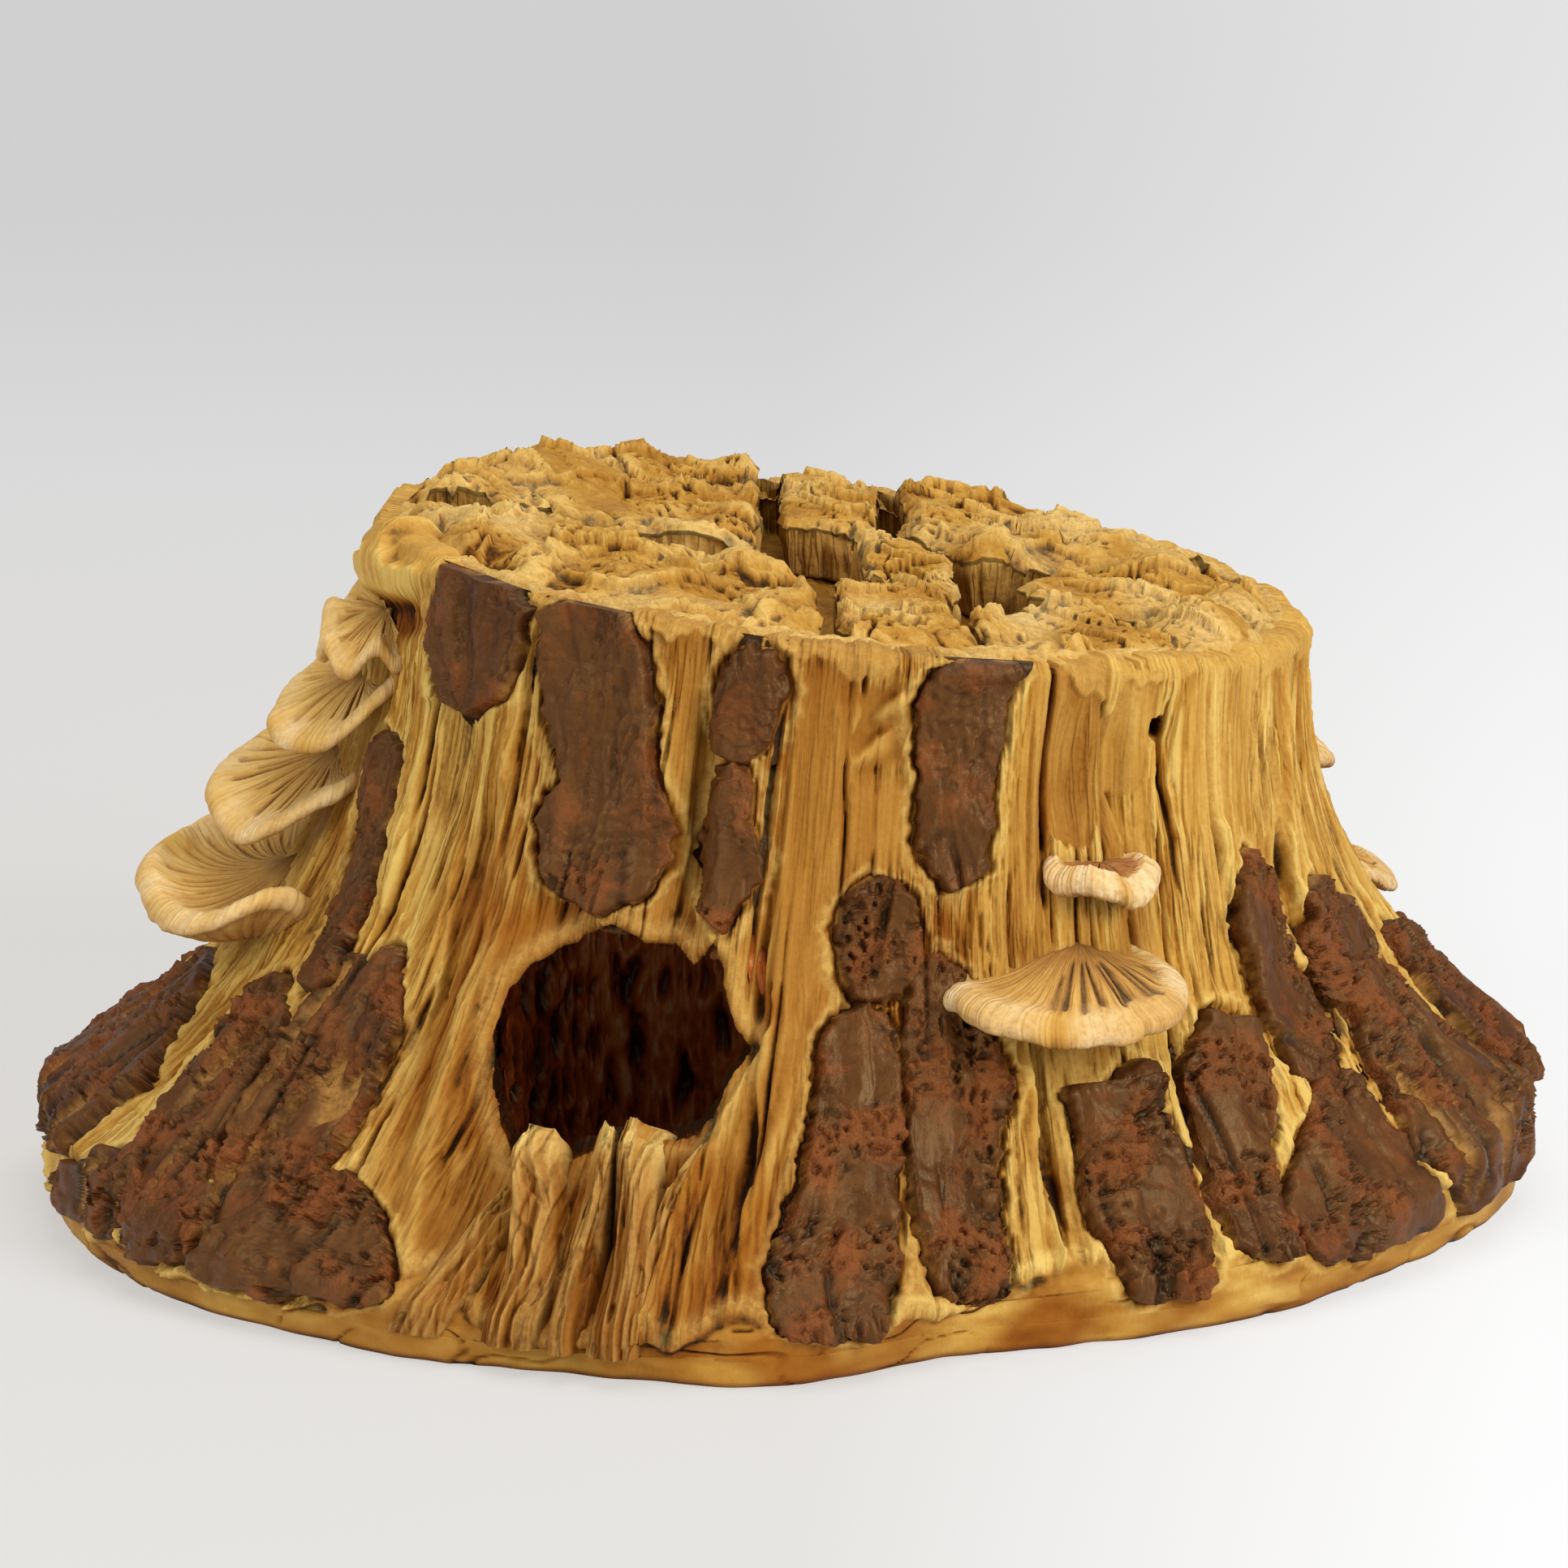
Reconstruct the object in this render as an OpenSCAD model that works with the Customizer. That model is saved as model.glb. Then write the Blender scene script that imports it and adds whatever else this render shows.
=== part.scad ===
// Hollow tree stump cave for a fish tank: a cast body and front block on a base plate, with a round
// cave behind a torn mouth in the block, raised bark slabs, bracket fungi, splinters on the sill and
// broken crown plates.
// The cave mouth faces -Y. Wall places are given as an angle about the stump, seen from above
// and counted from +X, and a height above the ground.

/* [Foot] */
// Width of the foot from side to side
foot_width = 296; // [260:1:340]
// Depth of the foot from front to back
foot_depth = 250; // [220:1:290]
// Thickness of the plate under the stump, which is the floor of the cave
base_thick = 5; // [3:0.5:7]

/* [Crown] */
// Width of the broken-off crown
rim_width = 185; // [170:1:205]
// Depth of the broken-off crown
rim_depth = 160; // [148:1:180]
// Height of the rim over the middle of the crown
rim_height = 126; // [115:1:145]
// Fall of the crown towards the right, in degrees
rim_fall = 6.5; // [3:0.5:9]
// Rise of the crown towards the back, in degrees
rim_rise = 1.7; // [0:0.1:3]
// Sideways lean of the crown
lean_x = 10; // [0:1:16]
// Backward lean of the crown
lean_y = 6; // [0:1:10]
// Wall left standing round the sunken crown
rim_wall = 9; // [6:0.5:12]
// Depth of the sunken crown under the rim
crown_depth = 14; // [8:1:18]

/* [Wood] */
// Height of the ribs down the wall
rib_height = 1.2; // [0:0.1:1.6]
// Height of the swells over the broken crown
plate_swell = 1.3; // [0:0.1:2]

/* [Cave] */
// Radius of the round cave
cave_radius = 34; // [28:1:38]
// Height of the cave ceiling above the base plate
cave_height = 70; // [60:1:78]
// Height at which the cave starts to dome over
cave_spring = 16; // [8:1:24]
// Direction that the cave faces, in degrees
cave_angle = 249; // [244:1:254]
// Wall left between the cave and the outside, at half the height of the mouth
cave_wall = 8; // [6:0.5:12]
// Width of the cave mouth
mouth_width = 47; // [38:1:52]
// Height of the cave mouth
mouth_height = 40; // [32:1:44]
// Height of the sill under the mouth
mouth_sill = 33; // [28:1:38]
// Thickness of the front block left behind and beside the cave
block_wall = 8; // [6:0.5:12]
// Thickness of the ridged cave liner
liner_thick = 3; // [2:0.5:4]
// Height of the ridges down the cave liner
liner_ridge = 1.4; // [0.5:0.1:2]

/* [Applied pieces] */
// Thickness of the bark slabs
bark_thick = 3.2; // [2:0.2:5]
// Thickness of the sill splinters
splinter_thick = 7; // [4:0.5:9]
// Gap for the glue between an applied piece and its seat
glue_line = 0.3; // [0.2:0.05:0.4]
// Gap between the crown plates and the rim
plate_gap = 1.2; // [0.6:0.1:2]
// Thickness of a fungus at its lip
fungus_lip = 3; // [2:0.25:4]
// Thickness of a fungus where it leaves the wall, as a share of its reach
fungus_root = 0.5; // [0.35:0.05:0.6]
// Depth of the dish in the top of a fungus, as a share of its reach
fungus_dish = 0.08; // [0:0.02:0.12]

/* [Hidden] */
// The tables below are drawn for a stump of this width and height, and grow with it
drawn_width = 296;
drawn_height = 126;
wide = foot_width / drawn_width;
tall = rim_height / drawn_height;
oval_steps = 180;
wall_rows = 13;
base_steps = 72;
slab_columns = 7;
row_pitch = 7;
end_tear = 0.25;
feel_rise = 0.02;
feel_turn = 0.8;
edge_lift = 0.55;
end_width = 0.6;
liner_top = 0.8;
plate_rings = [0.06, 0.3, 0.56, 0.8];
plate_pitch = 9;
plate_chamfer = 1.5;

// How far the foot stands off its plain oval, every 15 degrees from +X
foot_lobes = [-2.5, -0.5, 0, 1, 1, -0.5, -2, -1.5, 0, 1, 1, 1, 0.5, -0.5, 0, -2, -2, -0.5, -1, -13, -13, -12,
    -13, -8];
// Height of the blunt edge of the foot, every 30 degrees
edge_heights = [25, 24, 18, 14, 16, 22, 22, 16, 9, 9, 11, 14];
// How sharply the wall sweeps out to the foot, every 60 degrees
sweeps = [2.2, 2.3, 2.6, 3.0, 2.4, 2.2];

// Furrows and ridges down the wall: angle, half width in degrees, lift, lowest and highest height
furrows = [
    [253.5, 3.6, -4.5, 70, 116],
    [249, 2.2, 1.2, 84, 118],
    [266, 3, 4, 14, 84],
    [234.5, 2.4, -3, 28, 50],
    [275, 5, -2.4, 96, 120],
    [276, 5.5, 1.2, 74, 98],
    [302, 3.5, -3.2, 84, 112],
    [309, 3.5, -3.4, 84, 112],
    [316, 3, -2.6, 84, 112],
    [296, 2.6, -2.4, 12, 56],
    [313, 1.9, -2.4, 12, 50],
    [324, 2.2, -2.4, 38, 80],
    [336, 1.9, -2.4, 40, 80],
    [197, 2.5, -3.2, 20, 60],
    [225.5, 3, -3, 36, 96],
    [21, 2.8, -3, 24, 80],
    [34.5, 3, -2.8, 78, 118],
    [73, 4, -3.2, 20, 90],
    [109, 3, -3.2, 20, 74],
    [128, 3.5, -2.8, 20, 80],
    [170, 4, -3, 24, 96],
];

// Bark slabs: name, angle and height of the foot, of the head, then width at foot, middle and head
bark = [
    ["bark_rim_left", 218.2, 105, 215, 134, 18, 25, 24.5],
    ["bark_above_cave", 240, 76, 236.4, 130, 14, 23.5, 20],
    ["bark_rim_centre", 259, 104, 258.5, 126, 8, 11, 10],
    ["bark_beside_cave", 259.5, 73, 259, 101, 8, 10, 8],
    ["bark_curled", 287, 79, 286, 122, 12, 16, 15],
    ["bark_front_upper", 277, 62, 278, 84, 16, 15, 12],
    ["bark_front_foot_left", 273, 6, 275, 59, 22, 22, 16],
    ["bark_front_foot_right", 286.5, 11, 285, 62, 21, 20, 12],
    ["bark_hooked", 306, 7, 305, 45, 20, 21, 22],
    ["bark_right_strip", 317, 8, 320, 52, 13, 14, 11],
    ["bark_right_upper", 331, 39, 330, 78, 16, 13, 9],
    ["bark_right_small", 345, 56, 341, 73, 12, 14, 10],
    ["bark_right_foot", 329.5, 6, 331.5, 36, 28, 28, 16],
    ["bark_right_root", 345, 11, 342, 52, 34, 28, 15],
    ["bark_right_heel", 359, 26, 355, 54, 25, 22, 13],
    ["bark_far_left", 185, 20, 183, 45, 46, 40, 22],
    ["bark_left_strip", 207, 19, 203.5, 50, 12, 13, 9],
    ["bark_left_wide", 217, 22, 214.5, 60, 19, 23, 14],
    ["bark_left_ribbon", 208.5, 55, 204.5, 98, 7, 9, 8],
    ["bark_knotted", 225.5, 6, 226, 28, 36, 40, 22],
    ["bark_left_heel", 199, 6, 199, 17, 34, 36, 28],
    ["bark_left_toe", 211.5, 6, 212.5, 18, 13, 15, 12],
    ["bark_back_right_low", 12, 14, 12, 47, 30, 26, 16],
    ["bark_back_right_tall", 32, 12, 32, 74, 28, 22, 12],
    ["bark_back_right_rim", 47, 70, 45, 117, 16, 22, 18],
    ["bark_back_foot_right", 59, 8, 62, 56, 28, 24, 12],
    ["bark_back_centre", 86, 8, 85, 72, 24, 26, 14],
    ["bark_back_rim", 100, 76, 98, 126, 16, 21, 18],
    ["bark_back_foot_left", 119, 8, 117, 56, 30, 24, 12],
    ["bark_back_left_tall", 141, 12, 138, 66, 26, 22, 12],
    ["bark_back_left_low", 160, 10, 157, 52, 30, 26, 14],
    ["bark_back_left_rim", 150, 84, 148, 131, 17, 23, 20],
];

// Splinters on the sill, in the same order of values
splinters = [
    ["sill_splinter_1", 239, 10, 244, 37, 14, 12, 7],
    ["sill_splinter_2", 246.5, 10, 248, 37, 10, 8, 6],
    ["sill_splinter_3", 251.5, 10, 252, 38, 9, 8, 5],
    ["sill_splinter_4", 256, 10, 256, 36, 8, 7, 4],
    ["sill_splinter_5", 260.5, 10, 260, 41, 8, 7, 4],
];

// Fungi: name, angle and height of the root, width, reach, droop of the lip, fall to one side, wave
fungi = [
    ["fungus_left_top", 197, 121, 20, 12, 5, 4.5, 0.8],
    ["fungus_left_upper", 194, 108, 26, 16.5, 7, 5, 1],
    ["fungus_left_lower", 189, 92, 34, 23, 7, 7.5, 1.2],
    ["fungus_left_large", 189, 71, 42, 29.5, 3, 7, 1.6],
    ["fungus_front_small", 305.2, 82.5, 20.5, 9, 2, 0.5, 0.8],
    ["fungus_front_large", 299.2, 68, 45, 20, 10, 0.5, 1],
    ["fungus_right_upper", 19, 84.5, 18, 13, 3, -1, 0.8],
    ["fungus_right_lower", 16, 62, 24, 17, 4, -1, 1],
];

// Crown plates: name, height over the rim, then corners as shares of the sunken crown's half sizes
plates = [
    ["crown_plate_back_left", 4, [[-0.72, 0.02], [-0.42, -0.05], [-0.21, -0.1], [-0.19, 0.45],
        [-0.2, 0.97], [-0.46, 0.88], [-0.74, 0.66], [-0.92, 0.37], [-0.99, 0.02]]],
    ["crown_plate_back_centre", 3, [[-0.14, 0.38], [0.09, 0.36], [0.1, 0.98], [-0.13, 0.98]]],
    ["crown_plate_back_right", 3, [[0.15, 0.32], [0.31, 0.04], [0.52, 0.13], [0.82, 0.38],
        [0.82, 0.55], [0.6, 0.79], [0.36, 0.92], [0.15, 0.97]]],
    ["crown_plate_right", 2, [[0.42, -0.3], [0.62, -0.34], [0.96, -0.22], [0.97, 0.16],
        [0.88, 0.34], [0.55, 0.06], [0.4, -0.1]]],
    ["crown_plate_front_right", 1.5, [[0.28, -0.7], [0.36, -0.92], [0.63, -0.76], [0.84, -0.52],
        [0.92, -0.3], [0.6, -0.42], [0.34, -0.42]]],
    ["crown_plate_front_centre", 1.5, [[-0.02, -0.7], [0.02, -0.98], [0.3, -0.94], [0.23, -0.66],
        [0.28, -0.32], [0.12, -0.22], [-0.02, -0.36]]],
    ["crown_plate_front_left", 3, [[-0.86, -0.47], [-0.62, -0.77], [-0.36, -0.92], [-0.05, -0.98],
        [-0.07, -0.72], [-0.12, -0.42], [-0.42, -0.14], [-0.72, -0.06], [-0.97, -0.05]]],
    ["crown_plate_curl", 0.5, [[0.06, -0.12], [0.26, -0.14], [0.26, 0], [0.16, 0.22], [0.02, 0.2]]],
];

// Outline of the mouth, as shares of its width and height
mouth_outline = [[-0.5, 0.33], [-0.5, 0.5], [-0.46, 0.68], [-0.37, 0.78], [-0.22, 0.88], [-0.03, 1],
    [0.1, 0.93], [0.35, 0.95], [0.39, 0.83], [0.44, 0.6], [0.5, 0.5], [0.42, 0.38], [0.33, 0.2],
    [0.18, 0.23], [-0.05, 0.2], [-0.2, 0.15], [-0.31, 0.03], [-0.42, 0.05]];

ochre = [0.78, 0.6, 0.3];
pale_ochre = [0.86, 0.72, 0.44];
bark_brown = [0.4, 0.27, 0.22];
cave_brown = [0.22, 0.11, 0.06];
cream = [0.88, 0.78, 0.54];

// ---- curves -------------------------------------------------------------------------------
function clamp01(t) = min(1, max(0, t));

// A smooth closed curve through a list of values spread evenly round the circle
function around(list, a) =
    let (
        n = len(list),
        u = (a % 360 + 360) % 360 * n / 360,
        i = floor(u),
        f = u - i,
        p0 = list[(i + n - 1) % n],
        p1 = list[i % n],
        p2 = list[(i + 1) % n],
        p3 = list[(i + 2) % n]
    )
    p1 + 0.5 * f * (p2 - p0 + f * (2 * p0 - 5 * p1 + 4 * p2 - p3 + f * (3 * (p1 - p2) + p3 - p0)));

function oval_radius(w, d, a) = 1 / sqrt(pow(2 * cos(a) / w, 2) + pow(2 * sin(a) / d, 2));
function turn_between(a, b) = ((a - b + 540) % 360 + 360) % 360 - 180;

// A bump of height 1 at 0 that dies away at -1 and 1
function bump(u) = abs(u) < 1 ? (cos(180 * u) + 1) / 2 : 0;
function fade(z, low, high, run = 10) = clamp01((z - low) / run) * clamp01((high - z) / run);

// ---- the wall -----------------------------------------------------------------------------
function crown_z(x, y) = rim_height - tan(rim_fall) * (x - lean_x) + tan(rim_rise) * (y - lean_y);
function foot_radius(a) = oval_radius(foot_width, foot_depth, a) + around(foot_lobes, a) * wide;
function rim_radius(a) = oval_radius(rim_width, rim_depth, a);
function rim_z(a) = crown_z(lean_x + rim_radius(a) * cos(a), lean_y + rim_radius(a) * sin(a));
function edge_z(a) = around(edge_heights, a) * tall;
function share_up(a, z) = clamp01((z - edge_z(a)) / (rim_z(a) - edge_z(a)));
function furrow_lift(a, z) =
    [for (f = furrows) f[2] * wide * bump(turn_between(a, f[0]) / f[1]) * fade(z / tall, f[3], f[4])];
function total(list, i = 0) = i < len(list) - 1 ? list[i] + total(list, i + 1) : list[i];

// Broad flutes, which deepen from the rim to the foot
function flutes(a, v) = (0.9 * cos(11 * a + 40) + 0.7 * cos(19 * a)) * wide * (1 - 0.5 * v) * clamp01(8 * v);
// Ribs in the grain, which fade out at the rim and at the foot
function ribs(a, v, z) =
    rib_height * wide * clamp01(8 * v) * clamp01(4 * (1 - v))
        * (0.6 * cos(23 * a + 1.2 * z / tall + 60) + 0.5 * cos(31 * a - 0.9 * z / tall - 21));
function wall_radius(a, z) =
    let (v = share_up(a, z))
    rim_radius(a) + (foot_radius(a) - rim_radius(a)) * pow(1 - v, around(sweeps, a))
        + flutes(a, v) + ribs(a, v, z) + total(furrow_lift(a, z));
function off_axis(r, a, z) = [lean_x * z / rim_height + r * cos(a), lean_y * z / rim_height + r * sin(a), z];

// A point on the wall at angle a and share v of the way from the foot's edge to the rim; shares
// from -1 to 0 run up the blunt edge of the foot
function wall_point(a, v) =
    let (z = edge_z(a) + (v < 0 ? edge_z(a) - base_thick : rim_z(a) - edge_z(a)) * v)
    off_axis(wall_radius(a, z), a, z);
function wall_share(a, z) = z < edge_z(a) ? (z - edge_z(a)) / (edge_z(a) - base_thick) : share_up(a, z);
function unit(p) = p / norm(p);
function wall_normal(a, v) =
    let (
        along = wall_point(a + feel_turn, v) - wall_point(a - feel_turn, v),
        up = wall_point(a, min(1, v + feel_rise)) - wall_point(a, max(-1, v - feel_rise))
    )
    unit(cross(along, up));
function over_wall(a, v, lift) = wall_point(a, v) + lift * wall_normal(a, v);

// ---- skins --------------------------------------------------------------------------------
// A closed solid between two grids of points, given as rows of the same length
module between_grids(outer, inner) {
    rows = len(outer);
    cols = len(outer[0]);
    n = rows * cols;
    points = concat([for (r = outer) each r], [for (r = inner) each r]);
    skin = [for (i = [0 : rows - 2], j = [0 : cols - 2]) let (k = i * cols + j)
        each [[k, k + cols, k + 1], [k + 1, k + cols, k + cols + 1]]];
    back = [for (t = skin) [t[2] + n, t[1] + n, t[0] + n]];
    loop = concat(
        [for (j = [0 : cols - 1]) j],
        [for (i = [1 : rows - 1]) i * cols + cols - 1],
        [for (j = [cols - 2 : -1 : 0]) (rows - 1) * cols + j],
        [for (i = [rows - 2 : -1 : 1]) i * cols]
    );
    sides = [for (i = [0 : len(loop) - 1]) let (p = loop[i], q = loop[(i + 1) % len(loop)])
        each [[p, q, p + n], [q, q + n, p + n]]];
    polyhedron(points = points, faces = concat(skin, back, sides), convexity = 6);
}

// A closed solid from a stack of rings of the same length, closed at each end by its middle point
module ring_stack(rings) {
    count = len(rings);
    n = len(rings[0]);
    first = total(rings[0]) / n;
    last = total(rings[count - 1]) / n;
    points = concat([for (r = rings) each r], [first, last]);
    sides = [for (i = [0 : count - 2], j = [0 : n - 1]) let (k = i * n, m = (j + 1) % n)
        each [[k + j, k + n + j, k + m], [k + m, k + n + j, k + n + m]]];
    ends = [for (j = [0 : n - 1]) let (m = (j + 1) % n, k = (count - 1) * n)
        each [[m, count * n, j], [k + j, count * n + 1, k + m]]];
    polyhedron(points = points, faces = concat(sides, ends), convexity = 8);
}

// ---- base, shell and cave -----------------------------------------------------------------
module base_plate() {
    color(ochre)
    linear_extrude(base_thick)
    polygon([for (i = [0 : base_steps - 1]) let (a = 360 * i / base_steps) foot_radius(a) * [cos(a), sin(a)]]);
}

function wall_ring(v) = [for (i = [0 : oval_steps - 1]) wall_point(360 * i / oval_steps, v)];
function foot_ring() =
    [for (i = [0 : oval_steps - 1]) let (a = 360 * i / oval_steps) off_axis(wall_radius(a, base_thick), a, base_thick)];
function crown_ring(inset, drop) =
    [for (i = [0 : oval_steps - 1]) let (
        a = 360 * i / oval_steps,
        p = wall_point(a, 1) - inset * [cos(a), sin(a), 0]
    ) [p.x, p.y, crown_z(p.x, p.y) - drop]];

mouth_middle = mouth_sill + mouth_height / 2;
function cave_share(z) = clamp01((z - base_thick - cave_spring) / (cave_height - cave_spring));
function cave_radius_at(z, off = 0) = (cave_radius + off) * sqrt(1 - pow(cave_share(z), 2));
cave_out = wall_radius(cave_angle, mouth_middle) - cave_wall - cave_radius_at(mouth_middle);
cave_middle = cave_out * [cos(cave_angle), sin(cave_angle)];
mouth_x = (wall_radius(cave_angle, mouth_middle)) * cos(cave_angle) + 2;

module cave_hollow() {
    dome_steps = 10;
    translate([cave_middle.x, cave_middle.y, 0])
    rotate_extrude($fn = 96)
    polygon(concat(
        [[0, 0], [cave_radius, 0]],
        [for (i = [0 : dome_steps]) let (t = 90 * i / dome_steps)
            [cave_radius * cos(t), base_thick + cave_spring + (cave_height - cave_spring) * sin(t)]]
    ));
}

module mouth_cut() {
    translate([mouth_x, cave_middle.y, mouth_sill])
    rotate([90, 0, 0])
    linear_extrude(foot_depth)
    polygon([for (p = mouth_outline) [p.x * mouth_width, p.y * mouth_height]]);
}

// The stump's body and its front block meet on three flat faces round the cave
module whole_stump() {
    ring_stack(concat(
        [foot_ring()],
        [for (i = [0 : wall_rows]) wall_ring(i / wall_rows)],
        [crown_ring(rim_wall, 0), crown_ring(rim_wall, crown_depth)]
    ));
}

module block_room() {
    half = cave_radius + block_wall;
    translate([cave_middle.x - half, -foot_depth, 0])
    cube([2 * half, foot_depth + cave_middle.y + half, 2 * rim_height]);
}

module stump_shell() {
    color(ochre)
    difference() {
        whole_stump();
        block_room();
    }
}

module stump_front() {
    color(ochre)
    difference() {
        intersection() {
            whole_stump();
            block_room();
        }
        cave_hollow();
        mouth_cut();
    }
}

// The liner stands inside the hollow and leaves the side of the mouth open
module cave_liner() {
    liner_steps = 48;
    liner_rows = 6;
    open_half = 62;
    top_z = base_thick + cave_spring + (cave_height - cave_spring) * liner_top;
    function liner_z(i) = base_thick + (top_z - base_thick) * i / liner_rows;
    function liner_angle(j) = cave_angle + open_half + (360 - 2 * open_half) * j / liner_steps;
    function liner_point(i, j, r) = [
        cave_middle.x + r * cos(liner_angle(j)),
        cave_middle.y + r * sin(liner_angle(j)),
        liner_z(i)
    ];
    outer = [for (i = [0 : liner_rows]) [for (j = [0 : liner_steps])
        liner_point(i, j, cave_radius_at(liner_z(i)) - glue_line)]];
    inner = [for (i = [0 : liner_rows]) [for (j = [0 : liner_steps])
        liner_point(i, j, cave_radius_at(liner_z(i)) - glue_line - liner_thick - (j % 2) * liner_ridge)]];
    color(cave_brown)
    between_grids(outer, inner);
}

// ---- pieces laid on the wall --------------------------------------------------------------
function mix3(a, b, c, t) = t < 0.5 ? a + (b - a) * 2 * t : b + (c - b) * (2 * t - 1);
function torn(i, seed) = sin(i * 137 + seed * 71) * 0.1;

// A slab from its foot to its head along the wall, thinner at its torn edges. A row lies on the
// foot's edge wherever the slab folds over it.
module wall_slab(spec, thick, seed) {
    foot_angle = spec[1];
    head_angle = spec[3];
    foot_v = wall_share(foot_angle, spec[2] * tall);
    head_v = wall_share(head_angle, spec[4] * tall);
    rows = max(4, round(abs(spec[4] - spec[2]) / row_pitch) + 2);
    last_row = rows - 1;
    last_column = slab_columns - 1;
    fold_share = foot_v < 0 && head_v > 0 ? -foot_v / (head_v - foot_v) : 0;
    fold_row = fold_share == 0 ? 0 : min(last_row - 1, max(1, round(last_row * fold_share)));
    function along(i) = i / last_row;
    function middle_v(i) = fold_row == 0 ? foot_v + (head_v - foot_v) * along(i)
        : i < fold_row ? foot_v * (1 - i / fold_row) : head_v * (i - fold_row) / (last_row - fold_row);
    function width_at(t) =
        mix3(spec[5], spec[6], spec[7], t) * wide * min(1, end_width + 2 * t) * min(1, end_width + 2 * (1 - t));
    function edge_tear(i, j) = j == 0 ? torn(i, seed) : j == last_column ? torn(i + 5, seed) : 0;
    function slab_angle(i, j) =
        let (
            a = foot_angle + (head_angle - foot_angle) * along(i),
            p = wall_point(a, middle_v(i)),
            side = j / last_column - 0.5 + edge_tear(i, j)
        )
        a + side * width_at(along(i)) / norm([p.x, p.y]) * 180 / PI;
    function slab_v(i, j) =
        i == 0 ? max(-1, foot_v + end_tear * abs(torn(j, seed)))
        : i == last_row ? min(1, head_v - end_tear * abs(torn(j + i, seed)))
        : middle_v(i);
    function on_edge(i, j) = j == 0 || j == last_column || i == 0 || i == last_row;
    function lift_at(i, j) = thick * (on_edge(i, j) ? edge_lift : 1 + torn(i * 3 + j, seed));
    outer = [for (i = [0 : last_row]) [for (j = [0 : last_column])
        over_wall(slab_angle(i, j), slab_v(i, j), glue_line + lift_at(i, j))]];
    inner = [for (i = [0 : last_row]) [for (j = [0 : last_column])
        over_wall(slab_angle(i, j), slab_v(i, j), glue_line)]];
    between_grids(outer, inner);
}

module bark_slab(i) {
    color(bark_brown)
    wall_slab(bark[i], bark_thick, i);
}

module sill_splinter(i) {
    color(pale_ochre)
    wall_slab(splinters[i], splinter_thick, i);
}

// A bracket that fans out from the wall, dished on top, with a wavy lip
module bracket_fungus(i) {
    spec = fungi[i];
    fan_steps = 16;
    fan_rings = 5;
    wave_count = 5;
    root_angle = spec[1];
    root_z = spec[2] * tall;
    half_width = spec[3] * wide / 2;
    reach = spec[4] * wide;
    function fan_turn(j) = -90 + 180 * j / fan_steps;
    function top_z(j, q) =
        root_z - spec[5] * wide * pow(q, 1.5) * cos(fan_turn(j)) - spec[6] * wide * q * sin(fan_turn(j))
            + spec[7] * wide * sin(wave_count * fan_turn(j)) * pow(q, 2)
            - fungus_dish * reach * q * (1 - q) * 4;
    function depth_at(q) = fungus_lip + (reach * fungus_root - fungus_lip) * (1 - q) * (1 - q);
    function fan_point(j, q, z) =
        let (a = root_angle + half_width * sin(fan_turn(j)) * q / wall_radius(root_angle, root_z) * 180 / PI)
        off_axis(wall_radius(a, z) + glue_line + reach * cos(fan_turn(j)) * q, a, z);
    outer = [for (j = [0 : fan_steps]) [for (k = [1 : fan_rings]) let (q = k / fan_rings)
        fan_point(j, q, top_z(j, q))]];
    inner = [for (j = [0 : fan_steps]) [for (k = [1 : fan_rings]) let (q = k / fan_rings)
        fan_point(j, q, top_z(j, q) - depth_at(q))]];
    color(cream)
    between_grids(outer, inner);
}

// ---- crown --------------------------------------------------------------------------------
// A broken plate on the floor of the sunken crown: straight sides, a chamfer and a rough top
// Swells and hollows of the broken crown, which all the plates share
function crown_swell(p) =
    plate_swell * (sin(13 * p.x + 50 * sin(5 * p.y)) * cos(9 * p.y + 20) + 0.4 * cos(21 * p.x - 8 * p.y));

module crown_plate(i) {
    spec = plates[i];
    rise = spec[1] * tall;
    half = [rim_width / 2 - rim_wall - plate_gap, rim_depth / 2 - rim_wall - plate_gap];
    corners = [for (c = spec[2]) [lean_x + c.x * half.x, lean_y + c.y * half.y]];
    flat = [for (k = [0 : len(corners) - 1])
        let (
            p = corners[k],
            step = corners[(k + 1) % len(corners)] - p,
            parts = ceil(norm(step) / plate_pitch)
        )
        for (t = [0 : parts - 1]) p + step * t / parts];
    middle = total(flat) / len(flat);
    function level(p, h) = [p.x, p.y, crown_z(p.x, p.y) + h];
    function toward(p, share) = p + (middle - p) * share;
    color(pale_ochre)
    ring_stack(concat(
        [[for (p = flat) level(p, glue_line - crown_depth)]],
        [[for (p = flat) level(p, rise - plate_chamfer + crown_swell(p))]],
        [for (share = plate_rings) [for (p = flat) let (q = toward(p, share)) level(q, rise + crown_swell(q))]]
    ));
}

base_plate();
stump_shell();
stump_front();
cave_liner();
for (i = [0 : len(splinters) - 1])
    sill_splinter(i);
for (i = [0 : len(plates) - 1])
    crown_plate(i);
for (i = [0 : len(bark) - 1])
    bark_slab(i);
for (i = [0 : len(fungi) - 1])
    bracket_fungus(i);
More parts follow.
